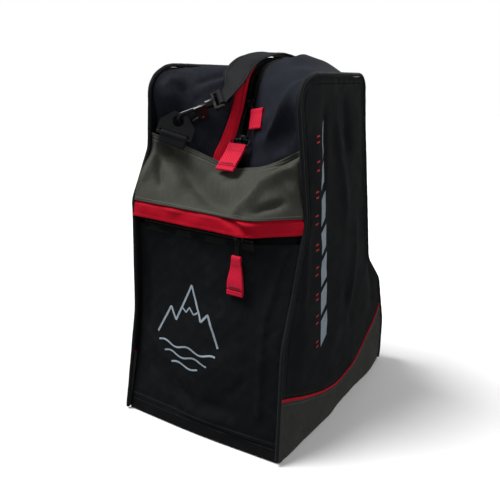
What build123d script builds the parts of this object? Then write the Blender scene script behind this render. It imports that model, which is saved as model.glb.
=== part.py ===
"""Ski boot bag: a tall canvas bag whose narrow top, deep base and rear heel follow a pair of boots.

The origin is the centre of the base, +Z is up and the front with its pocket faces -Y. Millimetres.
"""
from build123d import *
import os
from math import atan2, cos, degrees, hypot, radians, sin

# ---------------------------------------------------------------- driving dimensions
base_width = 240.0          # outside of the canvas, side to side, at the floor
top_width = 203.0           # the same at the top of the side panels
side_height = 466.0         # height of the side panels
front_reach = 182.0         # from the origin to the front bottom edge
heel_reach = 183.0          # from the origin to the back of the heel
canvas = 3.0                # canvas with its coating and lining
seam_gap = 0.4              # left between panels that are sewn to each other
piping_width = 4.6          # cord piping round the side panels
piping_depth = 4.4
stripe_front = 5.0          # height of the accent stripe at its front end
stripe_rear = 2.0           # and at its rear end

hem_height = 21.0           # seam between the front panel and the base band
base_thickness = 3.0
board_thickness = 3.0
pocket_zip_z = 279.0        # middle of the pocket zip
pocket_zip_y = -176.0       # plane of the pocket zip
pocket_zip_x0 = -96.0       # its ends
pocket_zip_x1 = 66.0
pocket_slider_x = 46.0      # where its slider stands
cover_height = 20.0         # red band over the pocket zip

row_gap = 5.2               # between the two rows of teeth
teeth_width = 3.0
teeth_depth = 2.6
tape_width = 9.0
tape_depth = 0.8

zip_foot = (-110.0, 352.0)  # lower end of the straight stretch of the main zip, y and z
zip_head = (-78.0, 455.0)   # its upper end
crest_height = 481.0        # top of the middle of the gusset
front_slider_travel = 30.0  # from the foot of the zip to the front slider
rear_slider_travel = 80.0   # and to the rear slider
flap_width = 15.0           # storm flap beside the main zip

slider_length = 13.0
slider_width = 11.0
slider_plate = 1.4
post_width = 2.4            # the slider's post, between the rows of teeth
pull_width = 25.0
pull_depth = 3.2

strap_width = 38.0
strap_depth = 2.2
strap_rise = 5.0            # underside of the strap over the crest
strap_x = -17.0             # middle of the strap where it crosses the crest
adjuster_bar = 3.0

bar_radius = 2.6            # moulded bar of the snap hooks
hook_bend = 8.5             # radius of the hook's nose, at the bar's middle
hook_length = 38.0          # nose to collar
ring_plate = 2.6            # thickness of the ring plates
ring_bar_radius = 2.2       # lower bar of a ring, which its tab folds round
ring_hole_radius = 7.2
swing_clearance = 0.4       # of pieces that swing on each other
gate_pin_radius = 1.2
pin_clearance = 0.06        # radial clearance on the gate pins

# ---------------------------------------------------------------- frames
lean = degrees(atan2((base_width - top_width) / 2, side_height))
lean_cos = cos(radians(lean))
lean_sin = sin(radians(lean))


def side_plane(side, inset=0.0):
    """Plane of a side panel's inner face: local x is +Y and local y runs up the panel."""
    x = side * (base_width / 2 - canvas - inset)
    return Plane(origin=(x, 0, 0), x_dir=(0, 1, 0), z_dir=(lean_cos, 0, side * lean_sin))


def save(solid, name):
    """Label a finished piece and write its STEP file."""
    solid.label = name
    export_step(solid, f"parts/{name}.step")


def panel(name, *sections, thickness=canvas):
    """One canvas panel, ruled between lines that are drawn on planes from left to right."""
    with BuildPart() as cloth:
        for plane, points in sections:
            with BuildSketch(plane):
                with BuildLine():
                    Spline(*points)
                trace(line_width=thickness)
        loft(ruled=True)
    save(cloth.part, name)


os.makedirs("parts", exist_ok=True)
left_edge = side_plane(-1, seam_gap)
right_edge = side_plane(1, seam_gap)
middle = Plane.YZ

# ---------------------------------------------------------------- side panels
ear_front = -159.0
top_and_back = [
    (-128, side_height), (31, side_height - 2), (44, 400), (94, 198), (150, 152),
    (heel_reach, 70), (heel_reach, 0),
]
top_and_back_rounds = [24, 16, 120, 34, 30, 50, 20]
side_fronts = {
    "left": ([(-front_reach, 0), (-170, 150), (-182, 303), (-155, 366), (ear_front, 452)],
             [6, 150, 20, 30, 12]),
    "right": ([(-front_reach, 0), (-176, 150), (-125, 296), (ear_front, 452)],
              [6, 60, 60, 12]),
}
stripe_path = [(-200, 94), (-173, 86), (-81, 55), (26, 41), (118, 75), (200, 124)]


def side_outline(name, grow=0.0):
    """Outline of a side panel, let out by a margin."""
    front, front_rounds = side_fronts[name]
    with BuildSketch() as shape:
        with BuildLine():
            FilletPolyline(*front, *top_and_back, radius=front_rounds + top_and_back_rounds, close=True)
        make_face()
        if grow:
            offset(amount=grow)
    return shape.sketch


def below_stripe(drop):
    """The region of a side panel under the curved stripe, let down by a drop at each path point."""
    line = [(y, z - fall) for (y, z), fall in zip(stripe_path, drop)]
    with BuildSketch() as region:
        with BuildLine():
            curve = Spline(*line)
            Polyline(curve @ 1, (line[-1][0], -40), (line[0][0], -40), curve @ 0)
        make_face()
    return region.sketch


stripe_fall = [
    stripe_front + (stripe_rear - stripe_front) * step / (len(stripe_path) - 1)
    for step in range(len(stripe_path))
]
no_fall = [0.0] * len(stripe_path)
under_stripe = [fall + seam_gap for fall in stripe_fall]
over_stripe = [-seam_gap] * len(stripe_path)

for side, name in ((-1, "left"), (1, "right")):
    face = side_plane(side)
    with BuildPart() as side_panel:
        with BuildSketch(face):
            add(side_outline(name))
            add(below_stripe(over_stripe), mode=Mode.SUBTRACT)
        extrude(amount=side * canvas)
    save(side_panel.part, f"side_panel_{name}")

    with BuildPart() as corner_panel:
        with BuildSketch(face):
            add(side_outline(name))
            add(below_stripe(under_stripe), mode=Mode.INTERSECT)
        extrude(amount=side * canvas)
    save(corner_panel.part, f"corner_panel_{name}")

    with BuildPart() as side_stripe:
        with BuildSketch(face):
            add(side_outline(name))
            add(below_stripe(no_fall), mode=Mode.INTERSECT)
            add(below_stripe(stripe_fall), mode=Mode.SUBTRACT)
        extrude(amount=side * canvas)
    save(side_stripe.part, f"side_stripe_{name}")

    with BuildPart() as edge_piping:
        with BuildSketch(face):
            add(side_outline(name, grow=seam_gap + piping_width))
            add(side_outline(name, grow=seam_gap), mode=Mode.SUBTRACT)
        extrude(amount=side * piping_depth)
        with BuildSketch(Plane.XY):
            Rectangle(base_width * 2, front_reach * 4)
        extrude(amount=-piping_width * 2, mode=Mode.SUBTRACT)
    save(edge_piping.part, f"edge_piping_{name}")

# ---------------------------------------------------------------- front, pocket and yoke
pocket_top = pocket_zip_z - row_gap / 2 - teeth_width - tape_width
cover_foot = pocket_zip_z + 4.5
cover_top = cover_foot + cover_height
yoke_foot = cover_top + 4 * seam_gap
band_top = hem_height - seam_gap
fold = middle.offset(62)    # upright fold where the front turns back to the right side panel

panel(
    "front_base_band",
    (left_edge, [(-180, 4), (-178, band_top)]),
    (middle, [(-184, 4), (-183, band_top)]),
    (right_edge, [(-180, 4), (-178, band_top)]),
)
panel(
    "front_panel",
    (left_edge, [(-178, hem_height), (-167, 110), (-168, 190), (-175, pocket_top)]),
    (middle, [(-183, hem_height), (-181, 110), (-177, 190), (pocket_zip_y + 1, pocket_top)]),
    (fold, [(-183, hem_height), (-181, 110), (-177, 190), (pocket_zip_y + 1, pocket_top)]),
    (right_edge, [(-178, hem_height), (-175, 120), (-165, 190), (-135, pocket_top)]),
)
panel(
    "inner_front_wall",
    (left_edge, [(-168, 8), (-157, 110), (-158, 190), (-163, cover_foot)]),
    (middle, [(-172, 8), (-168, 110), (-163, 190), (-160, cover_foot)]),
    (fold, [(-172, 8), (-168, 110), (-163, 190), (-160, cover_foot)]),
    (right_edge, [(-168, 8), (-164, 120), (-152, 190), (-122, cover_foot)]),
)
panel(
    "pocket_zip_cover",
    (left_edge, [(pocket_zip_y - 10, cover_foot), (pocket_zip_y - 8, cover_top)]),
    (fold, [(pocket_zip_y - 12, cover_foot), (pocket_zip_y - 11, cover_top)]),
    (right_edge, [(-133, cover_foot), (-129, cover_top)]),
)
panel(
    "front_yoke",
    (left_edge, [(-183, yoke_foot), (-174, 338), (-157, 361), (-156, 386)]),
    (middle, [(-186, yoke_foot), (-160, 320), (-138, 334), (-121, 347)]),
    (fold, [(-187, yoke_foot), (-166, 324), (-146, 346), (-129, 366)]),
    (right_edge, [(-129, yoke_foot), (-132, 335), (-138, 362), (-143, 384)]),
)

# ---------------------------------------------------------------- back and base
panel(
    "back_panel",
    *[
        (edge, [(44, 396), (50, 350), (67, 290), (83, 232), (100, 188), (132, 163), (158, 120), (175, 80),
                (181, 40), (179, 5)])
        for edge in (left_edge, right_edge)
    ],
)
inner_width = base_width - 2 * canvas - 2 * seam_gap
with BuildPart() as base_panel:
    with BuildSketch():
        with Locations((0, (heel_reach - front_reach) / 2)):
            RectangleRounded(inner_width - 1, front_reach + heel_reach - 8, 6)
    extrude(amount=base_thickness)
save(base_panel.part, "base_panel")

with BuildPart() as base_board:
    with BuildSketch(Plane.XY.offset(base_thickness + seam_gap)):
        with Locations((0, (heel_reach - front_reach) / 2 + 2)):
            RectangleRounded(inner_width - 8, front_reach + heel_reach - 32, 12)
    extrude(amount=board_thickness)
save(base_board.part, "base_board")

# ---------------------------------------------------------------- top gusset and main zip
slope = (zip_head[0] - zip_foot[0]) / (zip_head[1] - zip_foot[1])
slope_angle = degrees(atan2(zip_head[0] - zip_foot[0], zip_head[1] - zip_foot[1]))
slope_length = hypot(zip_head[0] - zip_foot[0], zip_head[1] - zip_foot[1])
slope_sin = sin(radians(slope_angle))
slope_cos = cos(radians(slope_angle))
zip_side = row_gap / 2 + teeth_width + tape_width + 1.0
crest_line = [(-55, 469), (-20, 478), (14, crest_height), (36, 468), (44, 436), (45, 399)]


def slope_plane(travel):
    """Plane on the straight stretch of the main zip: local y runs up it, local z out of the bag."""
    origin = (0, zip_foot[0] + slope_sin * travel, zip_foot[1] + slope_cos * travel)
    return Plane(origin=origin, x_dir=(1, 0, 0), z_dir=(0, -slope_cos, slope_sin))


tuck = 16.0
gusset_middle = [(zip_foot[0] - slope * tuck, zip_foot[1] - tuck), (-94, 403.5), zip_head, *crest_line]
gusset_edges = {
    "left": [(-146, 372), (-150, 411), (-157, 440), (-147, 457), (-122, 463)],
    "right": [(-132, 370), (-146, 411), (-157, 440), (-147, 457), (-122, 463)],
}
gusset_back = [(-69, 464), (-18, 463), (20, 461), (37, 448), (42, 427), (44, 399)]
panel(
    "top_panel_left",
    (left_edge, gusset_edges["left"] + gusset_back),
    (middle.offset(-zip_side), gusset_middle),
)
panel(
    "top_panel_right",
    (middle.offset(zip_side), gusset_middle),
    (right_edge, gusset_edges["right"] + gusset_back),
)


def zip_strip(name, near, width, depth):
    """A strip along the main zip, from a distance beside its middle line and outwards."""
    with BuildPart() as strip:
        with BuildSketch(middle.offset(near)):
            with BuildLine():
                straight = Line(zip_foot, zip_head)
                Spline(*[zip_head, *crest_line], tangents=(straight % 1, (0, -1)))
            trace(line_width=depth)
        extrude(amount=width)
    save(strip.part, name)


for side, name in ((-1, "left"), (1, "right")):
    zip_strip(f"main_zip_teeth_{name}", side * row_gap / 2, side * teeth_width, teeth_depth)
    tape_start = row_gap / 2 + teeth_width + 0.2
    zip_strip(f"main_zip_tape_{name}", side * tape_start, side * (tape_width - 0.2), tape_depth)

flap_tilt = 36.0
flap_start = 54.0
flap_length = 44.0
flap_base = slope_plane(flap_start)
flap_plane = Plane(
    origin=flap_base.origin,
    x_dir=flap_base.x_dir * cos(radians(flap_tilt)) - flap_base.z_dir * sin(radians(flap_tilt)),
    z_dir=flap_base.x_dir * sin(radians(flap_tilt)) + flap_base.z_dir * cos(radians(flap_tilt)),
)
with BuildPart() as main_zip_flap:
    with BuildSketch(flap_plane.offset(5.0)):
        with Locations((-slider_width / 2 - 2.5 - flap_width / 2, flap_length / 2)):
            RectangleRounded(flap_width, flap_length, 3)
    extrude(amount=1.2)
save(main_zip_flap.part, "main_zip_flap")

# ---------------------------------------------------------------- pocket zip
pocket_length = pocket_zip_x1 - pocket_zip_x0
pocket_middle = (pocket_zip_x0 + pocket_zip_x1) / 2
for side, name in ((-1, "lower"), (1, "upper")):
    with BuildPart() as pocket_teeth:
        with Locations((pocket_middle, pocket_zip_y, pocket_zip_z + side * (row_gap + teeth_width) / 2)):
            Box(pocket_length, teeth_depth, teeth_width)
    save(pocket_teeth.part, f"pocket_zip_teeth_{name}")
    with BuildPart() as pocket_tape:
        tape_z = pocket_zip_z + side * (row_gap / 2 + teeth_width + 0.2 + (tape_width - 0.6) / 2)
        with Locations((pocket_middle, pocket_zip_y, tape_z)):
            Box(pocket_length, tape_depth, tape_width - 0.6)
    save(pocket_tape.part, f"pocket_zip_tape_{name}")

# ---------------------------------------------------------------- sliders and their pulls
hinge_lift = teeth_depth / 2 + 0.7 + slider_plate + 2.2
arch_hole = 1.7
wire = 1.6


def slider(name, plane, hinge_axis):
    """A zip slider about a plane's origin, travelling along local y, with an arch for its pull."""
    with BuildPart() as body:
        for level in (teeth_depth / 2 + 0.7, -teeth_depth / 2 - 0.7 - slider_plate):
            with BuildSketch(plane.offset(level)):
                RectangleRounded(slider_width, slider_length, 3)
            extrude(amount=slider_plate)
        with BuildSketch(plane.offset(-teeth_depth / 2 - 0.7)):
            Ellipse(post_width / 2, slider_length / 3)
        extrude(amount=teeth_depth + 1.4)
        with BuildSketch(Plane(plane.from_local_coords((0, 0, hinge_lift)), z_dir=hinge_axis)):
            Circle(arch_hole + 1.4)
            Circle(arch_hole, mode=Mode.SUBTRACT)
        extrude(amount=1.6, both=True)
    save(body.part, name)


def pull_ring(name, plane, width, height):
    """Flat wire ring that hangs from the origin of a plane, down local y."""
    with BuildPart() as ring:
        with BuildSketch(plane.offset(-wire / 2)):
            with Locations((0, -height / 2)):
                RectangleRounded(width + wire, height + wire, 2.4)
                RectangleRounded(width - wire, height - wire, 1.2, mode=Mode.SUBTRACT)
        extrude(amount=wire)
    save(ring.part, name)


def pull_cord(name, plane, length):
    """Short cord under a small wire eye that turns in a slider's arch, down local y."""
    eye_size = 6.0
    with BuildPart() as cord:
        with BuildSketch(plane.offset(-wire / 2)):
            with Locations((0, -eye_size / 2)):
                RectangleRounded(eye_size + wire, eye_size + wire, 2.2)
                RectangleRounded(eye_size - wire, eye_size - wire, 1.2, mode=Mode.SUBTRACT)
            with Locations((0, -(eye_size + length) / 2)):
                Rectangle(wire, length - eye_size)
        extrude(amount=wire)
    save(cord.part, name)


loop_eye = wire / 2 + 0.7
loop_head = loop_eye + 1.1


def pull_loop(name, plane, start, length, width, eye):
    """Webbing folded into a flat loop. Its head turns round a wire, or is sewn to a cord."""
    with BuildPart() as loop:
        with BuildSketch(Plane(plane.origin, x_dir=plane.y_dir, z_dir=plane.x_dir)):
            with Locations((-start - length / 2, 0)):
                Rectangle(length, pull_depth)
            with Locations((-start, 0)):
                Circle(loop_head)
                if eye:
                    Circle(loop_eye, mode=Mode.SUBTRACT)
        extrude(amount=width / 2, both=True)
    save(loop.part, name)


front_slider_plane = slope_plane(front_slider_travel)
rear_slider_plane = slope_plane(rear_slider_travel)
pocket_slider_plane = Plane(
    origin=(pocket_slider_x, pocket_zip_y, pocket_zip_z), x_dir=(0, 0, -1), z_dir=(0, -1, 0),
)
front_hinge = front_slider_plane.from_local_coords((0, 0, hinge_lift))
front_hang = 47.0
front_pull_plane = Plane(
    origin=front_hinge, x_dir=(1, 0, 0), z_dir=(0, -cos(radians(front_hang)), sin(radians(front_hang))),
)
slider("main_slider_front", front_slider_plane, front_pull_plane.x_dir)
pull_ring("main_pull_ring_front", front_pull_plane, pull_width + 2, 10)
pull_loop("main_pull_loop_front", front_pull_plane, 10, 40, pull_width, True)

rear_hinge = rear_slider_plane.from_local_coords((0, 0, hinge_lift))
rear_down = Vector(0.639, -0.497, -0.587).normalized()
rear_out = Vector(-0.430, -0.864, 0.262).normalized()
rear_pull_plane = Plane(origin=rear_hinge, x_dir=rear_out.cross(rear_down), z_dir=rear_out)
slider("main_slider_rear", rear_slider_plane, rear_pull_plane.x_dir)
rear_cord = 16.0
pull_cord("main_pull_cord_rear", rear_pull_plane, rear_cord)
pull_loop("main_pull_loop_rear", rear_pull_plane, rear_cord + loop_head, 24, 20, False)

pocket_hinge = pocket_slider_plane.from_local_coords((0, 0, hinge_lift))
pocket_pull_plane = Plane(origin=pocket_hinge, x_dir=(1, 0, 0), z_dir=(0, -1, 0))
slider("pocket_slider", pocket_slider_plane, pocket_pull_plane.x_dir)
pocket_cord = 21.0
pull_cord("pocket_pull_cord", pocket_pull_plane, pocket_cord)
pull_loop("pocket_pull_loop", pocket_pull_plane, pocket_cord + loop_head, 48, pull_width - 3, False)

# ---------------------------------------------------------------- rings and their tabs
tab_length = 12.0
tab_head = ring_bar_radius + swing_clearance + 1.6
ring_half_width = 23.0
plate_foot = tab_head + 0.6
hook_hole_height = 19.0
roof_half_width = 8.0
roof_height = 30.0
eave_height = 15.0


def ring_and_tab(place, plane):
    """A moulded ring with a hole for a hook, and the webbing tab that holds its lower bar."""
    with BuildPart() as tab:
        with BuildSketch(Plane(plane.origin, x_dir=plane.y_dir, z_dir=plane.x_dir)):
            Circle(tab_head)
            with Locations((-tab_length / 2, 0)):
                Rectangle(tab_length, 2 * strap_depth)
            Circle(ring_bar_radius + swing_clearance, mode=Mode.SUBTRACT)
        extrude(amount=strap_width / 2 - 2, both=True)
    save(tab.part, f"ring_tab_{place}")

    arm = ring_half_width - strap_width / 2
    with BuildPart() as ring:
        with BuildSketch(plane.offset(-ring_plate / 2)):
            with BuildLine():
                Polyline(
                    (-ring_half_width, plate_foot), (ring_half_width, plate_foot),
                    (ring_half_width, eave_height), (roof_half_width, roof_height),
                    (-roof_half_width, roof_height), (-ring_half_width, eave_height), close=True,
                )
            make_face()
            with Locations((0, hook_hole_height)):
                Circle(ring_hole_radius, mode=Mode.SUBTRACT)
            with Locations(*[(side * (ring_half_width - arm / 2), plate_foot / 2) for side in (-1, 1)]):
                Rectangle(arm, plate_foot)
        extrude(amount=ring_plate)
        with BuildSketch(Plane(plane.origin, x_dir=plane.y_dir, z_dir=plane.x_dir)):
            Circle(ring_bar_radius)
        extrude(amount=ring_half_width, both=True)
    save(ring.part, f"ring_{place}")


# ---------------------------------------------------------------- snap hooks and strap eyes
hook_twist = 45.0           # turn of a hook's plane about its length, from square to the ring plate
hook_set_back = 1.0         # from the middle of the ring's hole to the middle of the hook's nose
gate_level = 2 * hook_bend
gate_pin_at = (30.0, gate_level - 3.5)
gate_start = 14.0
gate_radius = 1.8
gate_hub = 3.0
gate_width = 3.0
shell_width = 6.8           # moulded shell at the hook's root, which holds the gate
stem_radius = 2.0
stem_flange = 3.2
stem_length = 8.0
flange_depth = 2.0
collar_radius = 5.5
collar_length = 10.5
eye_bar_radius = 2.2
eye_width = 28.0
eye_rim = 4.0
eye_bar_at = hook_length + swing_clearance + collar_length + 10.0


def hook_plane(plane, angle):
    """Plane of a hook on a ring: local x runs from its nose along it, local y to its gate's side."""
    along = plane.x_dir * cos(radians(angle)) + plane.y_dir * sin(radians(angle))
    across = plane.x_dir * sin(radians(angle)) - plane.y_dir * cos(radians(angle))
    gate_side = across * sin(radians(hook_twist)) - plane.z_dir * cos(radians(hook_twist))
    nose = plane.from_local_coords((0, hook_hole_height, 0)) + along * hook_set_back
    return Plane(origin=nose - gate_side * hook_bend, x_dir=along, z_dir=along.cross(gate_side))


def snap_hook(place, plane):
    """Snap hook: a moulded hook, whose nose turns about a ring, its sprung gate and the gate's pin."""
    side_on = Plane(plane.origin, x_dir=plane.y_dir, z_dir=plane.x_dir)
    with BuildPart() as hook:
        with BuildLine(plane):
            bar = Line((hook_length - 6, 0), (hook_bend, 0))
            nose = CenterArc((hook_bend, hook_bend), hook_bend, 270, -180)
            Line((hook_bend, gate_level), (gate_start - 1.2, gate_level))
        with BuildSketch(side_on.offset(hook_length - 6)):
            Circle(bar_radius)
        sweep()
        with BuildSketch(plane.offset(-shell_width / 2)):
            with BuildLine():
                Polyline(
                    (22, -bar_radius), (hook_length, -bar_radius), (hook_length, 8),
                    (hook_length - 3, gate_level), (26, gate_level), (22, 6), close=True,
                )
            make_face()
        extrude(amount=shell_width)
        with BuildSketch(plane.offset(-gate_width / 2 - swing_clearance)):
            with Locations(gate_pin_at):
                Circle(gate_hub + swing_clearance)
            with BuildLine():
                Polyline((20, 7), (30, 9), (30, gate_level + 2), (20, gate_level + 2), close=True)
            make_face()
        extrude(amount=gate_width + 2 * swing_clearance, mode=Mode.SUBTRACT)
        with BuildSketch(plane.offset(-shell_width)):
            with Locations(gate_pin_at):
                Circle(gate_pin_radius + pin_clearance)
        extrude(amount=2 * shell_width, mode=Mode.SUBTRACT)
        with BuildSketch(side_on.offset(hook_length - 0.5)):
            Circle(stem_radius)
        extrude(amount=stem_length)
        with BuildSketch(side_on.offset(hook_length - 0.5 + stem_length - flange_depth)):
            Circle(stem_flange)
        extrude(amount=flange_depth)
    save(hook.part, f"hook_{place}")

    gate_end = (gate_start + gate_radius, gate_level)
    with BuildPart() as gate:
        with BuildSketch(plane.offset(-gate_width / 2)):
            SlotCenterPoint(
                ((gate_pin_at[0] + gate_end[0]) / 2, (gate_pin_at[1] + gate_end[1]) / 2), gate_end,
                2 * gate_radius,
            )
            with Locations(gate_pin_at):
                Circle(gate_hub)
                Circle(gate_pin_radius + pin_clearance, mode=Mode.SUBTRACT)
        extrude(amount=gate_width)
    save(gate.part, f"hook_gate_{place}")

    with BuildPart() as gate_pin:
        with BuildSketch(plane.offset(-shell_width / 2)):
            with Locations(gate_pin_at):
                Circle(gate_pin_radius)
        extrude(amount=shell_width)
    save(gate_pin.part, f"gate_pin_{place}")


def strap_eye(place, plane, across):
    """Swivel collar on a hook's stem, with the frame whose end bar holds the strap."""
    root = hook_length + swing_clearance
    frame_plane = Plane(plane.origin, x_dir=plane.x_dir, z_dir=plane.x_dir.cross(across))
    along_hook = Plane(plane.origin, x_dir=across, z_dir=plane.x_dir)
    with BuildPart() as eye:
        with BuildSketch(along_hook.offset(root)):
            Circle(collar_radius)
        extrude(amount=collar_length)
        with BuildSketch(frame_plane.offset(-eye_bar_radius)):
            with Locations(((root + collar_length + eye_bar_at) / 2, 0)):
                Rectangle(eye_bar_at - root - collar_length + 2, eye_width + 2 * eye_rim)
            with Locations((eye_bar_at - 2, 0)):
                Rectangle(2 * tab_head + 4, eye_width, mode=Mode.SUBTRACT)
        extrude(amount=2 * eye_bar_radius)
        with BuildSketch(Plane(frame_plane.origin, x_dir=plane.x_dir, z_dir=across)):
            with Locations((eye_bar_at, 0)):
                Circle(eye_bar_radius)
        extrude(amount=eye_width / 2 + eye_rim, both=True)
        with BuildSketch(along_hook.offset(root - 1)):
            Circle(stem_radius + swing_clearance)
        extrude(amount=stem_length, mode=Mode.SUBTRACT)
        with BuildSketch(along_hook.offset(hook_length - 0.5 + stem_length - flange_depth - swing_clearance)):
            Circle(stem_flange + swing_clearance)
        extrude(amount=flange_depth + 2 * swing_clearance, mode=Mode.SUBTRACT)
    save(eye.part, f"strap_eye_{place}")


rig_yaw = 28.0
rig_tilt = 12.0
rig_drop = 15.0
front_out = Vector(
    sin(radians(rig_yaw)) * cos(radians(rig_tilt)),
    -cos(radians(rig_yaw)) * cos(radians(rig_tilt)),
    sin(radians(rig_tilt)),
)
front_across = Vector(cos(radians(rig_yaw)), sin(radians(rig_yaw)), 0) * cos(radians(rig_drop))
front_across = front_across - Vector(0, 0, sin(radians(rig_drop)))
front_rig = Plane(origin=(-72, -150, 383), x_dir=front_across, z_dir=front_out)
rear_out_y = 64.0
rear_shift = hook_bend * sin(radians(hook_twist))
rear_rig = Plane(origin=(strap_x - rear_shift, rear_out_y, 332), x_dir=(-1, 0, 0), z_dir=(0, 1, 0))
front_hook_plane = hook_plane(front_rig, 38.0)
rear_hook_plane = hook_plane(rear_rig, 90.0)
ring_and_tab("front", front_rig)
ring_and_tab("rear", rear_rig)
snap_hook("front", front_hook_plane)
snap_hook("rear", rear_hook_plane)

along = front_hook_plane.x_dir
front_bar_dir = (Vector(1, 0, 0) - along * along.X).normalized()
strap_eye("front", front_hook_plane, front_bar_dir)
strap_eye("rear", rear_hook_plane, Vector(1, 0, 0))

# ---------------------------------------------------------------- carry strap and its adjuster
front_bar = front_hook_plane.from_local_coords((eye_bar_at, 0, 0))
rear_bar = rear_hook_plane.from_local_coords((eye_bar_at, 0, 0))
strap_top = crest_height + canvas / 2 + strap_rise + strap_depth / 2
arch_start = (front_bar.Y + 14, front_bar.Z + 22)
arch_end = (rear_bar.Y, rear_bar.Z + 54)
webbing_at_eye = eye_width - 2

with BuildPart() as carry_strap:
    with BuildSketch(Plane.YZ.offset(strap_x)):
        with BuildLine():
            arch = Spline(
                arch_start, (-78, strap_top - 12), (-45, strap_top - 2), (5, strap_top), (40, strap_top - 4),
                arch_end, tangents=((0.7, 1), (0, -1)), tangent_scalars=(1.0, 0.8),
            )
            Line(arch_end, (rear_bar.Y, rear_bar.Z + loop_head))
        trace(line_width=strap_depth)
    extrude(amount=strap_width / 2, both=True)
    start_dir = Vector(0, 0.7, 1).normalized()
    with BuildSketch(Plane((strap_x, *arch_start), x_dir=(1, 0, 0), z_dir=start_dir)):
        Rectangle(strap_width, strap_depth)
    with BuildSketch(Plane(front_bar + along * (tab_head - 1), x_dir=front_bar_dir, z_dir=along)):
        Rectangle(webbing_at_eye, 2 * strap_depth)
    loft()
    for hook_frame, bar_dir in ((front_hook_plane, front_bar_dir), (rear_hook_plane, Vector(1, 0, 0))):
        centre = hook_frame.from_local_coords((eye_bar_at, 0, 0))
        with BuildSketch(Plane(centre, x_dir=hook_frame.x_dir, z_dir=bar_dir)):
            Circle(tab_head)
            Circle(eye_bar_radius + swing_clearance, mode=Mode.SUBTRACT)
        extrude(amount=webbing_at_eye / 2, both=True)
save(carry_strap.part, "carry_strap")

adjuster_z = rear_bar.Z + 28
glide_gap = 0.6
with BuildPart() as strap_adjuster:
    with BuildSketch(Plane.XY.offset(adjuster_z - 10)):
        with Locations((strap_x, rear_bar.Y)):
            Rectangle(strap_width + 9, strap_depth + 2 * glide_gap + 4)
            Rectangle(strap_width + 2 * glide_gap, strap_depth + 2 * glide_gap, mode=Mode.SUBTRACT)
    extrude(amount=20)
    with BuildSketch(Plane.XZ.offset(-rear_bar.Y)):
        with Locations(*[(strap_x, adjuster_z + step) for step in (-4.5, 4.5)]):
            Rectangle(strap_width - 2, adjuster_bar + 2)
    extrude(amount=-10, mode=Mode.SUBTRACT)
save(strap_adjuster.part, "strap_adjuster")
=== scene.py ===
"""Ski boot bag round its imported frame: canvas shell, zips, webbing and moulded hardware.

Lengths are in metres unless a name says otherwise. The origin is the middle of the base,
+Z is up and the front with its pocket faces -Y.
"""
from __future__ import annotations

import logging
import math
from dataclasses import dataclass, field
from enum import Enum
from typing import Callable, Sequence

import bmesh
import bpy
import numpy as np
from mathutils import Matrix, Vector


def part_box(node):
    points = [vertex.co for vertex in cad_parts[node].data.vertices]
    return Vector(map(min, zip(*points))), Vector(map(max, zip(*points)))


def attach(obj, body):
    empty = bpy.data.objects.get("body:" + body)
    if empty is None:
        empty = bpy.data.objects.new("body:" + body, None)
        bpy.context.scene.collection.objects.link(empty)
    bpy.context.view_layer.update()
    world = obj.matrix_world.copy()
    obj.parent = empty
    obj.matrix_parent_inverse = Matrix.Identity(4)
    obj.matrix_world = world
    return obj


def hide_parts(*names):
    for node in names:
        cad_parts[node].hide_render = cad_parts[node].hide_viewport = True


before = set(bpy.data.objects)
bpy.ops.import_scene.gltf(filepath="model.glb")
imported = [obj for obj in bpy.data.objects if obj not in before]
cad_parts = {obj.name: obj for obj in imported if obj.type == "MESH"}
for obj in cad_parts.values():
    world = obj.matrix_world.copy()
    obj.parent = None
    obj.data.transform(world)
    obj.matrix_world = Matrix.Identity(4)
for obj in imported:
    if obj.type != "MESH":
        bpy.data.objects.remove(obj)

LOG = logging.getLogger("boot_bag")
MM = 0.001
ROOT = "root"
# The sides lean inwards, from half the width of the base to half that of the top.
BASE_WIDTH, TOP_WIDTH, SIDE_RISE = 0.240, 0.203, 0.466
LEAN = math.atan2((BASE_WIDTH - TOP_WIDTH) / 2, SIDE_RISE)
INNER_HALF = 0.117
FRONT_WIDTH = 0.23
# Thicknesses, and the gap at a seam.
CANVAS, PADDED, ZIP_CLOTH = 0.0026, 0.0024, 0.0007
SEAM_GAP, HEM = 0.0004, 0.0006
STITCH_PITCH, STITCH_PROUD = 0.0036, 0.0001
TOOTH_PITCH = 0.0026
FRONTWARDS = (0, -1, 0)
Array = np.ndarray
Placer = Callable[[Array, Array], Array]


class Side(Enum):
    """The two sides of the bag, as the sign of x."""

    LEFT = -1
    RIGHT = 1

    @property
    def word(self) -> str:
        """Return the name that the side's pieces carry."""
        return self.name.lower()


# ------------------------------------------------------------------ lines and surfaces
def unit(vectors: Array) -> Array:
    """Scale vectors to a length of one.

    Args:
        vectors: Rows of three numbers.

    Returns:
        The rows, each divided by its own length.
    """
    return vectors / np.maximum(np.linalg.norm(vectors, axis=-1, keepdims=True), 1e-12)


def smoothstep(values: Array) -> Array:
    """Return the smooth ramp from 0 to 1 of values that are cut to that range."""
    cut = np.clip(values, 0.0, 1.0)
    return cut * cut * (3 - 2 * cut)


def bell(values: Array, width: float) -> Array:
    """Return a smooth bump, 1 where a value is zero, that dies away over a width."""
    return np.exp(-(values / width) ** 2)


def from_edge(share: Array) -> Array:
    """Return the distance of each share from the nearer end of its range."""
    return np.minimum(share, 1 - share)


def distances(line: Array) -> Array:
    """Return how far each point of a line is from its start, along it."""
    return np.concatenate([[0.0], np.cumsum(np.linalg.norm(np.diff(line, axis=0), axis=1))])


def row_number(share: Array, path: Array) -> Array:
    """Return the number of the path's point at each share of its points."""
    last = len(path) - 1
    return np.clip(np.rint(share * last).astype(int), 0, last)


def placed(x: Sequence[float], y: Sequence[float], z: Sequence[float], origin: Sequence[float]) -> Matrix:
    """Return the transform that has three given axes and an origin."""
    return Matrix([(x[i], y[i], z[i], origin[i]) for i in range(3)] + [(0, 0, 0, 1)])


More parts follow.
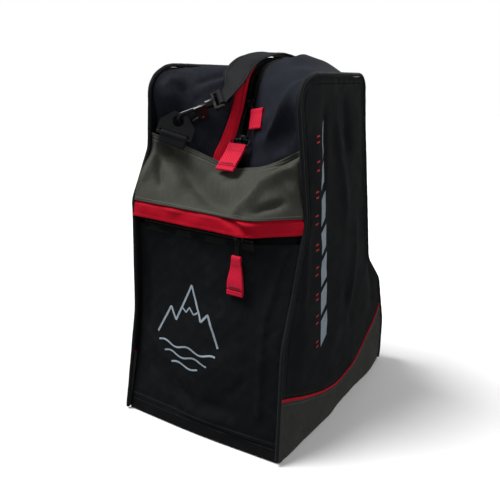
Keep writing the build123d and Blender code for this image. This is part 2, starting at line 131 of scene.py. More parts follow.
def spline(points: Sequence[Sequence[float]], share: Array) -> Array:
    """Evaluate a natural cubic line through points, by its share of chord length.

    Args:
        points: The points that it passes through, of any dimension.
        share: Where to evaluate it, from 0 to 1.

    Returns:
        One row for each share.
    """
    knots = np.asarray(points, float)
    at = distances(knots)
    at /= at[-1]
    count = len(knots)
    gap = np.diff(at)
    if count == 2:
        curve = np.zeros_like(knots)
    else:
        system, right = np.eye(count), np.zeros_like(knots)
        for i in range(1, count - 1):
            system[i, i - 1:i + 2] = gap[i - 1] / 6, (gap[i - 1] + gap[i]) / 3, gap[i] / 6
            right[i] = (knots[i + 1] - knots[i]) / gap[i] - (knots[i] - knots[i - 1]) / gap[i - 1]
        curve = np.linalg.solve(system, right)
    share = np.clip(np.asarray(share, float), 0.0, 1.0)
    k = np.clip(np.searchsorted(at, share, side="right") - 1, 0, count - 2)
    h = gap[k]
    after, before = (share - at[k])[:, None], (at[k + 1] - share)[:, None]
    h = h[:, None]
    return (
        curve[k] * before ** 3 / (6 * h) + curve[k + 1] * after ** 3 / (6 * h)
        + (knots[k] / h - curve[k] * h / 6) * before
        + (knots[k + 1] / h - curve[k + 1] * h / 6) * after
    )


def rounded_path(corners: Sequence[Sequence[float]], radii: Sequence[float], step: float) -> Array:
    """Round the corners of an open line in a plane.

    Args:
        corners: The line's corners.
        radii: A radius for each corner between its ends.
        step: Longest distance between two points of the result.

    Returns:
        Points along the rounded line.
    """
    pts = np.asarray(corners, float)
    out = [pts[0]]
    for before, here, after, radius in zip(pts[:-2], pts[1:-1], pts[2:], radii):
        a, b = unit(before - here), unit(after - here)
        half = math.acos(float(np.clip(a @ b, -1, 1))) / 2
        reach = radius / math.tan(half)
        centre = here + unit(a + b) * radius / math.sin(half)
        first, last = here + a * reach - centre, here + b * reach - centre
        start = math.atan2(first[1], first[0])
        turn = (math.atan2(last[1], last[0]) - start + math.pi) % (2 * math.pi) - math.pi
        for k in range(9):
            angle = start + turn * k / 8
            out.append(centre + radius * np.array([math.cos(angle), math.sin(angle)]))
    out.append(pts[-1])
    return refine(np.array(out), step)


def refine(line: Array, step: float) -> Array:
    """Return the line with points no further apart than a step, evenly spaced.

    Args:
        line: Points of the line.
        step: Longest distance between two points of the result.

    Returns:
        The new points.
    """
    at = distances(line)
    want = np.linspace(0, at[-1], max(2, int(at[-1] / step) + 1))
    return np.stack([np.interp(want, at, line[:, i]) for i in range(line.shape[1])], axis=1)


def ripple(points: Array, seed: int, wavelength: float) -> Array:
    """Smooth seeded unevenness, from a sum of plane waves of nearly one wavelength.

    Args:
        points: Rows of coordinates, in metres.
        seed: Seed of the directions and phases.
        wavelength: Middle wavelength, in metres.

    Returns:
        One number for each row, mostly from -1 to 1.
    """
    waves = 14
    draw = np.random.default_rng(seed)
    total = np.zeros(len(points))
    for _ in range(waves):
        direction = unit(draw.normal(size=points.shape[1]))
        k = 2 * math.pi / (wavelength * draw.uniform(0.65, 1.6))
        total += np.sin(points @ direction * k + draw.uniform(0, 2 * math.pi))
    return total / math.sqrt(waves)


def waves(points: Array, inside: Array, height: float, reach: float, seed: int, wavelength: float) -> Array:
    """Return unevenness that dies away towards a panel's edges.

    Args:
        points: Rows of coordinates, in metres.
        inside: Each row's distance inside the edges.
        height: Its usual height.
        reach: Distance from the edges at which it is whole.
        seed: Seed of its directions and phases.
        wavelength: Its middle wavelength.

    Returns:
        One number for each row, in metres.
    """
    return height * smoothstep(inside / reach) * ripple(points, seed, wavelength)


@dataclass(frozen=True)
class Crease:
    """A fold along a line of a panel's chart.

    Attributes:
        line: Points of the chart, in millimetres.
        rise: Height of the fold out of the panel, in millimetres; a valley is negative.
        width: Half width, in millimetres.
        hold_start: Whether the fold keeps its full height at its first point.
        hold_end: Whether it keeps it at its last point.
    """

    line: tuple[tuple[float, float], ...]
    rise: float
    width: float
    hold_start: bool = False
    hold_end: bool = False

    def lift(self, chart: Array) -> Array:
        """Return how far the fold moves each point of the chart, in metres."""
        path = np.asarray(self.line, float) * MM
        start = distances(path)
        near = np.full(len(chart), 1e9)
        share = np.zeros(len(chart))
        for i, length in enumerate(np.diff(start)):
            along = path[i + 1] - path[i]
            t = np.clip((chart - path[i]) @ along / length ** 2, 0, 1)
            away = np.linalg.norm(chart - (path[i] + t[:, None] * along), axis=1)
            closer = away < near
            near = np.where(closer, away, near)
            share = np.where(closer, (start[i] + t * length) / start[-1], share)
        fade = np.ones(len(chart))
        if not self.hold_start:
            fade *= smoothstep(share / 0.35)
        if not self.hold_end:
            fade *= smoothstep((1 - share) / 0.35)
        return self.rise * MM * fade * bell(near, self.width * MM)


def folds(creases: Sequence[Crease], chart: Array) -> Array:
    """Return how far all of a panel's folds move each point of its chart, in metres."""
    return sum(crease.lift(chart) for crease in creases)


def edge_line(side: Side, points: Sequence[tuple[float, float]]) -> Array:
    """Lift a line drawn on a side panel's leaning plane into space, a seam's gap inside it.

    Args:
        side: Which side panel.
        points: (y, height up the panel) in millimetres.

    Returns:
        The points in space, in metres.
    """
    flat = np.asarray(points, float) * MM
    y, up = flat[:, 0], flat[:, 1]
    x = side.value * (INNER_HALF - SEAM_GAP - math.sin(LEAN) * up)
    return np.stack([x, y, math.cos(LEAN) * up], axis=1)


def upright_line(x: float, points: Sequence[tuple[float, float]]) -> Array:
    """Return a line drawn on the upright plane at x, from (y, z) in millimetres."""
    flat = np.asarray(points, float) * MM
    return np.column_stack([np.full(len(flat), x * MM), flat])


@dataclass
class Loft:
    """A cloth surface through lines that cross it from left to right.

    Attributes:
        lines: The lines' points, each in metres.
        places: Where each line stands across the cloth, from 0 to 1.
        blur: How far the corners at the lines are rounded, as a share of the cloth's width.
        outward: Roughly the way that the outside faces.
        relief: Folds and unevenness: takes points, u and v, and returns distances outwards.
        lift: Distance of the outer face outside the lines.
    """

    lines: list[Array]
    places: list[float]
    blur: float = 0.03
    outward: tuple[float, float, float] = (0, -1, 0)
    relief: Callable[[Array, Array, Array], Array] | None = None
    lift: float = 0.0013

    def plain(self, u: Array, v: Array) -> Array:
        """Return the points of the surface without its folds."""
        sections = [spline(line, v) for line in self.lines]
        taps = np.linspace(-1, 1, 5) * self.blur
        total = np.zeros((len(u), 3))
        edge = from_edge(u)
        reach = np.minimum(1.0, edge / max(self.blur, 1e-9))
        for tap in taps:
            at = np.clip(u + tap * reach, 0, 1)
            point = np.zeros((len(u), 3))
            for k in range(len(self.places) - 1):
                a, b = self.places[k], self.places[k + 1]
                inside = (at >= a) & ((at < b) | (k == len(self.places) - 2))
                t = ((at - a) / (b - a))[:, None]
                point = np.where(inside[:, None], sections[k] * (1 - t) + sections[k + 1] * t, point)
            total += point
        return total / len(taps)

    def normal(self, u: Array, v: Array) -> Array:
        """Return the outward normals of the surface without its folds."""
        e = 0.004
        du = self.plain(np.clip(u + e, 0, 1), v) - self.plain(np.clip(u - e, 0, 1), v)
        dv = self.plain(u, np.clip(v + e, 0, 1)) - self.plain(u, np.clip(v - e, 0, 1))
        n = unit(np.cross(du, dv))
        return n * np.sign(n.mean(axis=0) @ np.asarray(self.outward, float) + 1e-12)

    def at(self, u: Array, v: Array, proud: float = 0.0) -> Array:
        """Return points of the outer face, folds and all, or a little proud of it."""
        base, n = self.plain(u, v), self.normal(u, v)
        rise = self.relief(base, u, v) if self.relief else 0.0
        return base + n * (np.asarray(rise) + self.lift + proud)[..., None]


# ------------------------------------------------------------------ mesh making
def deselect() -> None:
    """Leave nothing selected."""
    bpy.ops.object.select_all(action="DESELECT")


def active() -> bpy.types.Object:
    """Return the object that the last operator left active."""
    return bpy.context.view_layer.objects.active


def shade_smooth(mesh: bpy.types.Mesh) -> None:
    """Shade every face of a mesh smooth."""
    mesh.polygons.foreach_set("use_smooth", [True] * len(mesh.polygons))


def cloth_grid(name: str, columns: int, rows: int, place: Placer,
               size: tuple[float, float], outward: Sequence[float] | None = None) -> bpy.types.Object:
    """Add a grid and lay it on a surface.

    Args:
        name: Name of the piece.
        columns: Cells across.
        rows: Cells along.
        place: Takes u and v, each from 0 to 1, and returns points in space.
        size: Width and length of the cloth, in metres, for its UV map.
        outward: Roughly the way that its face looks, where that matters.

    Returns:
        The new object, smooth shaded, with its UV map in metres.
    """
    deselect()
    bpy.ops.mesh.primitive_grid_add(x_subdivisions=columns, y_subdivisions=rows, size=2)
    obj = active()
    obj.name = obj.data.name = name
    mesh = obj.data
    co = np.zeros(len(mesh.vertices) * 3)
    mesh.vertices.foreach_get("co", co)
    flat = co.reshape(-1, 3)
    u, v = (flat[:, 0] + 1) / 2, (flat[:, 1] + 1) / 2
    mesh.vertices.foreach_set("co", np.ascontiguousarray(place(u, v)).ravel())
    loops = np.zeros(len(mesh.loops), int)
    mesh.loops.foreach_get("vertex_index", loops)
    layer = mesh.uv_layers.active or mesh.uv_layers.new(name="UVMap")
    layer.data.foreach_set("uv", np.stack([u[loops] * size[0], v[loops] * size[1]], axis=1).ravel())
    mesh.update()
    if outward is not None:
        normals = np.zeros(len(mesh.polygons) * 3)
        mesh.polygons.foreach_get("normal", normals)
        if normals.reshape(-1, 3).mean(axis=0) @ np.asarray(outward, float) < 0:
            mesh.flip_normals()
    shade_smooth(mesh)
    return obj


def apply(obj: bpy.types.Object, kind: str, **settings: object) -> None:
    """Add a modifier to an object and apply it.

    Args:
        obj: The object.
        kind: The modifier's type.
        **settings: Its properties.
    """
    deselect()
    bpy.context.view_layer.objects.active = obj
    obj.select_set(True)
    modifier = obj.modifiers.new(kind.lower(), kind)
    for key, value in settings.items():
        setattr(modifier, key, value)
    bpy.ops.object.modifier_apply(modifier=modifier.name)


def thicken(obj: bpy.types.Object, thickness: float, offset: float = -1.0, hem: float = HEM) -> None:
    """Give a sheet its thickness and soften its cut edges.

    Args:
        obj: The sheet.
        thickness: Its thickness.
        offset: Which way it grows: -1 inwards, 0 both ways.
        hem: Width of the rounding of its edges.
    """
    apply(obj, "SOLIDIFY", thickness=thickness, offset=offset, use_even_offset=False)
    if hem:
        apply(obj, "BEVEL", width=hem, segments=2, limit_method="ANGLE", angle_limit=math.radians(55))
    shade_smooth(obj.data)


def fix_normals(obj: bpy.types.Object, close: bool = False) -> None:
    """Turn every face of a closed mesh outwards, after its seam and ends are closed where asked.

    Args:
        obj: The object that has the mesh.
        close: Whether its seam and ends are still open.
    """
    shape = bmesh.new()
    shape.from_mesh(obj.data)
    if close:
        bmesh.ops.remove_doubles(shape, verts=shape.verts, dist=1e-6)
        bmesh.ops.holes_fill(shape, edges=[e for e in shape.edges if e.is_boundary])
    bmesh.ops.recalc_face_normals(shape, faces=shape.faces)
    shape.to_mesh(obj.data)
    shape.free()


def frames_along(path: Array, hint: Sequence[float]) -> tuple[Array, Array]:
    """Carry a pair of square axes along a line without twisting.

    Args:
        path: Points of the line.
        hint: Roughly the first axis at its start.

    Returns:
        The two axes at each point.
    """
    tangents = unit(np.gradient(path, axis=0))
    first = np.zeros_like(path)
    axis = np.asarray(hint, float)
    for i, tangent in enumerate(tangents):
        axis = axis - tangent * (axis @ tangent)
        axis = axis / np.linalg.norm(axis)
        first[i] = axis
    return first, np.cross(tangents, first)


def tube(name: str, path: Array, radius: float | Array, around: int = 12,
         hint: Sequence[float] = (0, 0, 1)) -> bpy.types.Object:
    """Build a round cord along a line, closed at both ends.

    Args:
        name: Name of the piece.
        path: Points of the line.
        radius: Its radius, or one for each point.
        around: Faces around it.
        hint: Roughly the first axis of its section.

    Returns:
        The new object, with u round the cord and v along it, in metres.
    """
    first, second = frames_along(path, hint)
    radii = np.broadcast_to(np.asarray(radius, float), (len(path),))
    length = float(distances(path)[-1])

    def place(u: Array, v: Array) -> Array:
        """Return points on the cord's skin."""
        k = row_number(v, path)
        angle = u * 2 * math.pi
        r = radii[k]
        return path[k] + first[k] * (np.cos(angle) * r)[:, None] + second[k] * (np.sin(angle) * r)[:, None]

    obj = cloth_grid(name, around, len(path) - 1, place, (2 * math.pi * float(radii.mean()), length))
    fix_normals(obj, close=True)
    return obj


def ribbon(name: str, path: Array, across: Array, width: float | Array, thickness: float,
           cup: float = 0.0, columns: int = 10, wobble: float = 0.0, seed: int = 1) -> bpy.types.Object:
    """Build flat webbing along a line.

    Args:
        name: Name of the piece.
        path: Points of the middle line.
        across: The way across the webbing at each point.
        width: Its width, or one for each point.
        thickness: Its thickness.
        cup: How far its edges curl from its middle.
        columns: Cells across.
        wobble: Unevenness of its edges and surface.
        seed: Seed of the unevenness.

    Returns:
        The new object, with u across and v along, in metres.
    """
    across = unit(np.broadcast_to(np.asarray(across, float), path.shape))
    widths = np.broadcast_to(np.asarray(width, float), (len(path),))
    facing = unit(np.cross(unit(np.gradient(path, axis=0)), across))
    length = float(distances(path)[-1])

    def place(u: Array, v: Array) -> Array:
        """Return points on the middle of the webbing."""
        k = row_number(v, path)
        s = (u - 0.5) * 2
        point = path[k] + across[k] * (s * widths[k] / 2)[:, None]
        rise = cup * s * s
        if wobble:
            rise = rise + wobble * ripple(point, seed, 0.02)
        return point + facing[k] * np.asarray(rise)[:, None]

    obj = cloth_grid(name, columns, len(path) - 1, place, (float(widths.mean()), length))
    thicken(obj, thickness, 0.0, min(0.0005, thickness * 0.35))
    return obj


def stamp(name: str, places: list[Matrix], grain: Callable[[], bpy.types.Object]) -> bpy.types.Object:
    """Model a small shape once and set copies of it in one mesh.

    Args:
        name: Name of the piece.
        places: Where each copy stands.
        grain: Builds the shape about the origin.

    Returns:
        The object that holds all copies.
    """
    small = grain()
    source = small.data
    co = np.zeros(len(source.vertices) * 3)
    source.vertices.foreach_get("co", co)
    co = np.column_stack([co.reshape(-1, 3), np.ones(len(source.vertices))])
    faces = [list(p.vertices) for p in source.polygons]
    points = np.concatenate([(co @ np.array(m).T)[:, :3] for m in places])
    count = len(source.vertices)
    all_faces = [[i + k * count for i in face] for k in range(len(places)) for face in faces]
    mesh = bpy.data.meshes.new(name)
    mesh.from_pydata(points.tolist(), [], all_faces)
    shade_smooth(mesh)
    mesh.update()
    bpy.data.objects.remove(small)
    obj = bpy.data.objects.new(name, mesh)
    bpy.context.scene.collection.objects.link(obj)
    return obj


def thread_grain(length: float = 0.0026, width: float = 0.00065) -> bpy.types.Object:
    """Model one stitch of thread, lying along x."""
    deselect()
    bpy.ops.mesh.primitive_uv_sphere_add(segments=6, ring_count=5, radius=0.5, rotation=(0, math.pi / 2, 0))
    bpy.ops.object.transform_apply(location=False, rotation=True, scale=False)
    obj = active()
    obj.scale = (length, width, width * 0.8)
    bpy.ops.object.transform_apply(location=False, rotation=False, scale=True)
    return obj


def sew_row(name: str, line: Array, facing: Array, thread: Finish, pitch: float = STITCH_PITCH,
            body: str = ROOT) -> None:
    """Sew a row of stitches along a line.

    Args:
        name: Name of the piece.
        line: Points of the row, on the cloth.
        facing: The cloth's outward normals at those points, or one for all of them.
        thread: The thread's finish.
        pitch: Distance from stitch to stitch.
        body: The CAD body that carries it.
    """
    joined = refine(np.column_stack([line, np.broadcast_to(facing, line.shape)]), pitch)
    places = []
    for here, after in zip(joined[:-1], joined[1:]):
        x = Vector(after[:3] - here[:3]).normalized()
        y = Vector(here[3:]).normalized().cross(x).normalized()
        places.append(placed(x, y, x.cross(y), (here[:3] + after[:3]) / 2))
    dress(stamp(name, places, thread_grain), thread, body)


def sew_surface(name: str, surface: Loft, u: Array, v: Array, thread: Finish) -> None:
    """Sew a row of stitches along a line of a cloth surface."""
    sew_row(name, surface.at(u, v, STITCH_PROUD), surface.normal(u, v), thread)


# ------------------------------------------------------------------ finishes
Socket = bpy.types.NodeSocket


class Recipe:
    """A procedural material being put together, node by node."""

    def __init__(self, name: str, roughness: float, **constants: object) -> None:
        """Start a material.

        Args:
            name: Name of the material.
            roughness: Its roughness, where no node sets it.
            **constants: Other values on the shader's sockets, with _ for a space.
        """
        self.material = bpy.data.materials.new(name)
        self.material.use_nodes = True
        self.tree = self.material.node_tree
        self.tree.nodes.clear()
        self.shader = self.tree.nodes.new("ShaderNodeBsdfPrincipled")
        out = self.tree.nodes.new("ShaderNodeOutputMaterial")
        self.tree.links.new(self.shader.outputs[0], out.inputs[0])
        self.shader.inputs["Roughness"].default_value = roughness
        for key, value in constants.items():
            self.shader.inputs[key.replace("_", " ")].default_value = value
        self.coordinates = self.tree.nodes.new("ShaderNodeTexCoord")

    def node(self, kind: str, inputs: dict[str | int, object] | None = None,
             **settings: object) -> bpy.types.Node:
        """Add a node.

        Args:
            kind: Its type, without the ShaderNode prefix.
            inputs: A value or another node's socket for each input.
            **settings: Its properties.

        Returns:
            The node.
        """
        made = self.tree.nodes.new("ShaderNode" + kind)
        for key, value in settings.items():
            setattr(made, key, value)
        for key, value in (inputs or {}).items():
            if isinstance(value, Socket):
                self.tree.links.new(value, made.inputs[key])
            else:
                made.inputs[key].default_value = value
        return made

    def noise(self, scale: float, detail: float) -> Socket:
        """Return the value of a noise texture of a scale, in cycles for each metre."""
        inputs = {"Vector": self.coordinates.outputs["Object"], "Scale": scale, "Detail": detail}
        return self.node("TexNoise", inputs).outputs["Fac"]

    def bands(self, pitch: float, direction: str) -> Socket:
        """Return a sine across parallel bands, a pitch apart along one axis."""
        waves = 2 * math.pi / (20 * pitch)
        inputs = {"Vector": self.coordinates.outputs["UV"], "Scale": waves, "Distortion": 0.0}
        made = self.node("TexWave", inputs, wave_type="BANDS", bands_direction=direction, wave_profile="SIN")
        return made.outputs["Fac"]

    def weave(self, pitch: float) -> Socket:
        """Return the height of a plain weave whose threads are a pitch apart."""
        grid = self.node("TexChecker", {"Vector": self.coordinates.outputs["UV"], "Scale": 1 / pitch})
        return self.blend(grid.outputs["Fac"], self.bands(pitch, "X"), self.bands(pitch, "Y"))

    def blend(self, share: Socket | float, first: Socket | float, second: Socket | float) -> Socket:
        """Return a number between two others."""
        made = self.node("Mix", {0: share, 2: first, 3: second}, data_type="FLOAT")
        return made.outputs[0]

    def shade(self, share: Socket | float, first: object, second: object) -> Socket:
        """Return a colour between two others."""
        made = self.node("Mix", {0: share, 6: first, 7: second}, data_type="RGBA")
        return made.outputs[2]

    def ramp(self, value: Socket, low: float, high: float, to_low: float = 0.0,
             to_high: float = 1.0) -> Socket:
        """Return a number moved from one range to another and cut to it."""
        made = self.node("MapRange", {0: value, 1: low, 2: high, 3: to_low, 4: to_high})
        return made.outputs[0]

    def bump(self, *layers: tuple[Socket, float, float]) -> None:
        """Set the surface relief from (height, strength, distance in metres) layers."""
        normal = None
        for height, strength, distance in layers:
            inputs = {"Height": height, "Strength": strength, "Distance": distance}
            if normal is not None:
                inputs["Normal"] = normal
            normal = self.node("Bump", inputs).outputs[0]
        self.tree.links.new(normal, self.shader.inputs["Normal"])

    def color(self, source: Socket) -> None:
        """Set the surface colour from a socket."""
        self.tree.links.new(source, self.shader.inputs["Base Color"])

    def rough(self, source: Socket) -> None:
        """Set the roughness from a socket."""
        self.tree.links.new(source, self.shader.inputs["Roughness"])


def srgb(red: int, green: int, blue: int) -> tuple[float, float, float, float]:
    """Return a colour in linear light from its 0 to 255 display values."""
    shares = [c / 255 for c in (red, green, blue)]
    return (*[c / 12.92 if c <= 0.04 else ((c + 0.055) / 1.055) ** 2.4 for c in shares], 1.0)


def scaled(color: Sequence[float], factor: float) -> tuple[float, float, float, float]:
    """Return a colour made lighter or darker."""
    return (*[min(1.0, c * factor) for c in color[:3]], 1.0)


@dataclass(frozen=True)
class Finish:
    """A finish that a piece can be given.

    Attributes:
        slot: The record's material slot, which also names the material.
        base: Its main colour.
        mark: Last part of the material's name, where it isn't the slot's.
    """

    slot: str
    base: tuple[float, float, float, float]
    mark: str = ""

    def build(self) -> bpy.types.Material:
        """Make the material."""
        raise NotImplementedError

    def material(self) -> bpy.types.Material:
        """Return the material, made the first time that it is asked for."""
        return bpy.data.materials.get(self.name) or self.build()

    @property
    def name(self) -> str:
        """Return the material's name."""
        return "finish_" + (self.mark or self.slot)


@dataclass(frozen=True)
class Canvas(Finish):
    """Woven polyester canvas with a soft coating.

    Attributes:
        thread: Distance between threads.
        fleck: How much lighter and darker threads stand out.
        sheen: Strength of the soft light on its nap.
        rough: Roughness.
        dust: How far worn and dusty patches lighten it.
    """

    thread: float = 0.0009
    fleck: float = 0.35
    sheen: float = 0.15
    rough: float = 0.72
    dust: float = 0.12

    def build(self) -> bpy.types.Material:
        """Make the material."""
        r = Recipe(self.name, self.rough, Sheen_Weight=self.sheen, Sheen_Roughness=0.45,
                   Sheen_Tint=scaled(self.base, 5.0), Specular_IOR_Level=0.10)
        weave = r.weave(self.thread)
        slubs = r.node("TexNoise", {
            "Vector": r.node("Mapping", {
                "Vector": r.coordinates.outputs["UV"], "Scale": (900.0, 90.0, 1.0),
            }).outputs[0], "Scale": 1.0, "Detail": 2.0,
        }).outputs["Fac"]
        cloudy = r.noise(14.0, 4.0)
        dusty = r.noise(48.0, 5.0)
        dark, pale = scaled(self.base, 1 - self.fleck), scaled(self.base, 1 + self.fleck)
        threads = r.shade(r.ramp(slubs, 0.3, 0.7), dark, pale)
        hollow = r.shade(r.ramp(weave, 0.0, 0.5), scaled(self.base, 0.45), threads)
        uneven = r.shade(r.ramp(cloudy, 0.35, 0.7, 0.0, 0.5), hollow, scaled(self.base, 0.8))
        worn = (*[c * 0.6 + 0.4 * 0.12 for c in scaled(self.base, 2.2)[:3]], 1.0)
        r.color(r.shade(r.ramp(dusty, 0.56, 0.78, 0.0, self.dust), uneven, worn))
        r.rough(r.ramp(cloudy, 0.3, 0.7, self.rough - 0.06, self.rough + 0.1))
        r.bump((weave, 0.45, 0.0003), (slubs, 0.25, 0.0002), (dusty, 0.12, 0.0012))
        return r.material


@dataclass(frozen=True)
class Webbing(Finish):
    """Woven webbing with ribs across it and firm edges.

    Attributes:
        rib: Distance between ribs along it.
        cord: Distance between the warp cords across it.
        rough: Roughness.
    """

    rib: float = 0.0016
    cord: float = 0.0024
    rough: float = 0.7

    def build(self) -> bpy.types.Material:
        """Make the material."""
        r = Recipe(self.name, self.rough, Sheen_Weight=0.2, Sheen_Roughness=0.4,
                   Sheen_Tint=scaled(self.base, 4.0), Specular_IOR_Level=0.16)
        ribs, cords = r.bands(self.rib, "Y"), r.bands(self.cord, "X")
        twill = r.bands(self.rib * 1.4, "DIAGONAL")
        fuzz = r.noise(900.0, 2.0)
        cloudy = r.noise(60.0, 3.0)
        height = r.blend(0.4, r.blend(0.5, ribs, cords), twill)
        shade = r.shade(r.ramp(height, 0.15, 0.8), scaled(self.base, 0.5), scaled(self.base, 1.25))
        shade = r.shade(r.ramp(fuzz, 0.4, 0.75, 0.0, 0.5), shade, scaled(self.base, 1.6))
        r.color(r.shade(r.ramp(cloudy, 0.35, 0.7, 0.0, 0.35), shade, scaled(self.base, 0.7)))
        r.bump((height, 0.7, 0.0005), (fuzz, 0.2, 0.0002))
        return r.material


@dataclass(frozen=True)
class Tape(Finish):
    """Narrow ribbed tape, as binds the piping and carries the zips.

    Attributes:
        rib: Distance between its ribs.
    """

    rib: float = 0.0011

    def build(self) -> bpy.types.Material:
        """Make the material."""
        r = Recipe(self.name, 0.6, Sheen_Weight=0.05, Sheen_Roughness=0.4, Specular_IOR_Level=0.16)
        ribs = r.bands(self.rib, "Y")
        fuzz = r.noise(700.0, 2.0)
        rubbed = r.noise(40.0, 4.0)
        shade = r.shade(r.ramp(ribs, 0.1, 0.8), scaled(self.base, 0.55), scaled(self.base, 1.2))
        r.color(r.shade(r.ramp(rubbed, 0.5, 0.75, 0.0, 0.4), shade, scaled(self.base, 2.0)))
        r.rough(r.ramp(rubbed, 0.3, 0.7, 0.55, 0.75))
        r.bump((ribs, 0.5, 0.0003), (fuzz, 0.2, 0.0002), (rubbed, 0.15, 0.001))
        return r.material


@dataclass(frozen=True)
class Moulding(Finish):
    """Moulded nylon with a satin skin, rubbed paler here and there.

    Attributes:
        rough: Roughness.
    """

    rough: float = 0.36

    def build(self) -> bpy.types.Material:
        """Make the material."""
        r = Recipe(self.name, self.rough, Specular_IOR_Level=0.35, Coat_Weight=0.08, Coat_Roughness=0.25)
        skin = r.noise(1500.0, 2.0)
        flow = r.noise(90.0, 4.0)
        scuffs = r.noise(260.0, 6.0)
        shade = r.shade(r.ramp(flow, 0.3, 0.7), scaled(self.base, 0.7), scaled(self.base, 1.3))
        r.color(r.shade(r.ramp(scuffs, 0.6, 0.75, 0.0, 0.35), shade, scaled(self.base, 4.0)))
        r.rough(r.blend(0.5, r.ramp(scuffs, 0.4, 0.7, self.rough - 0.08, self.rough + 0.2),
                        r.ramp(flow, 0.3, 0.7, self.rough - 0.05, self.rough + 0.1)))
        r.bump((skin, 0.12, 0.0002), (flow, 0.1, 0.0008), (scuffs, 0.06, 0.0003))
        return r.material


@dataclass(frozen=True)
class Metal(Finish):
    """Plated or painted metal with fine scratches.

    Attributes:
        rough: Roughness.
    """

    rough: float = 0.3

    def build(self) -> bpy.types.Material:
        """Make the material."""
        r = Recipe(self.name, self.rough, Metallic=0.95)
        brushed = r.noise(2200.0, 2.0)
        tarnish = r.noise(300.0, 5.0)
        r.color(r.shade(r.ramp(tarnish, 0.4, 0.7), self.base, scaled(self.base, 0.55)))
        r.rough(r.ramp(tarnish, 0.3, 0.7, self.rough - 0.08, self.rough + 0.15))
        r.bump((brushed, 0.08, 0.0001), (tarnish, 0.06, 0.0003))
        return r.material


@dataclass(frozen=True)
class Plain(Finish):
    """A matt finish with a fine grain: thread, ink, card or floor.

    Attributes:
        rough: Roughness.
        grain: Scale of the grain, in cycles for each metre.
        crack: How much of the surface under it shows through worn spots.
        cloud: How uneven its colour is.
        under: Colour of what shows through.
    """

    rough: float = 0.6
    grain: float = 800.0
    crack: float = 0.0
    cloud: float = 0.15
    under: tuple[float, float, float, float] = (0.01, 0.01, 0.01, 1.0)

    def build(self) -> bpy.types.Material:
        """Make the material."""
        r = Recipe(self.name, self.rough, Specular_IOR_Level=0.3)
        grain, cloudy = r.noise(self.grain, 4.0), r.noise(self.grain / 12, 3.0)
        dark, pale = scaled(self.base, 1 - self.cloud), scaled(self.base, 1 + self.cloud * 0.7)
        shade = r.shade(r.ramp(cloudy, 0.3, 0.7), dark, pale)
        worn = r.ramp(grain, 0.58, 0.66, 0.0, self.crack)
        r.color(r.shade(worn, shade, self.under))
        r.rough(r.ramp(cloudy, 0.3, 0.7, self.rough - 0.05, self.rough + 0.08))
        r.bump((grain, 0.2, 0.0002), (cloudy, 0.1, 0.0006))
        return r.material


BLACK = Canvas("black_canvas", srgb(17, 19, 22), sheen=0.04, fleck=0.4, dust=0.10)
NAVY = Canvas("navy_canvas", srgb(34, 37, 46), sheen=0.08, fleck=0.3, dust=0.12)
GREY = Canvas("grey_canvas", srgb(78, 79, 72), sheen=0.08, fleck=0.22, rough=0.78, dust=0.08)
CORNER = Canvas("coated_canvas", srgb(62, 64, 60), thread=0.0012, sheen=0.03, rough=0.7, mark="corner_canvas")
COATED = Canvas("coated_canvas", srgb(13, 14, 16), thread=0.0012, sheen=0.03, rough=0.6)
RED = Canvas("red_canvas", srgb(196, 8, 38), sheen=0.10, fleck=0.16, rough=0.6, dust=0.02)
FLAP_RED = Canvas("red_canvas", srgb(232, 22, 52), sheen=0.12, fleck=0.16, rough=0.6, dust=0.02,
                  mark="flap_canvas")
RED_WEBBING = Webbing("red_webbing", srgb(212, 26, 58), rib=0.0014, cord=0.0022)
BLACK_WEBBING = Webbing("black_webbing", srgb(22, 23, 25), rib=0.0018, cord=0.0032)
PIPING = Tape("black_piping", srgb(19, 21, 24))
ZIP_TAPE = Tape("zip_tape", srgb(17, 18, 20), rib=0.0008)
ZIP_TEETH = Moulding("zip_teeth", srgb(12, 13, 15), rough=0.34)
MOULDING = Moulding("black_moulding", srgb(8, 9, 11), rough=0.26)
ZIP_METAL = Metal("zip_metal", srgb(48, 50, 55), rough=0.3)
WIRE = Metal("bright_wire", srgb(176, 180, 188), rough=0.2)
STIFFENER = Plain("stiffener", srgb(40, 40, 42), rough=0.8)
BLACK_THREAD = Plain("black_canvas", srgb(30, 32, 36), mark="black_thread", rough=0.6, grain=2500.0)
GREY_THREAD = Plain("grey_canvas", srgb(104, 107, 101), mark="grey_thread", rough=0.6, grain=2500.0)
STRAP_THREAD = Plain("black_webbing", srgb(52, 54, 58), mark="strap_thread", rough=0.6, grain=2500.0)
RED_THREAD = Plain("red_webbing", srgb(168, 8, 34), mark="red_thread", rough=0.6, grain=2500.0)
PALE_INK = Plain("black_canvas", srgb(150, 163, 174), mark="pale_ink", rough=0.5, grain=620.0, crack=0.55,
                 under=(0.02, 0.022, 0.026, 1.0))
RED_INK = Plain("black_canvas", srgb(190, 26, 44), mark="red_ink", rough=0.5, grain=620.0, crack=0.4,
                under=(0.02, 0.02, 0.02, 1.0))
FLOOR = Plain("stiffener", srgb(249, 249, 249), mark="floor", rough=0.9, grain=300.0, cloud=0.0)


def dress(obj: bpy.types.Object, finish: Finish, body: str = ROOT, stands_for: Sequence[str] = ()) -> None:
    """Give a piece its finish and the body that it rides on.

    Args:
        obj: The piece.
        finish: Its finish.
        body: The CAD body that carries it.
        stands_for: CAD nodes that it replaces.
    """
    obj.data.materials.clear()
    obj.data.materials.append(finish.material())
    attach(obj, body)
    if stands_for:
        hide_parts(*stands_for)
    LOG.info("%s: %s on %s", obj.name, finish.name, body)


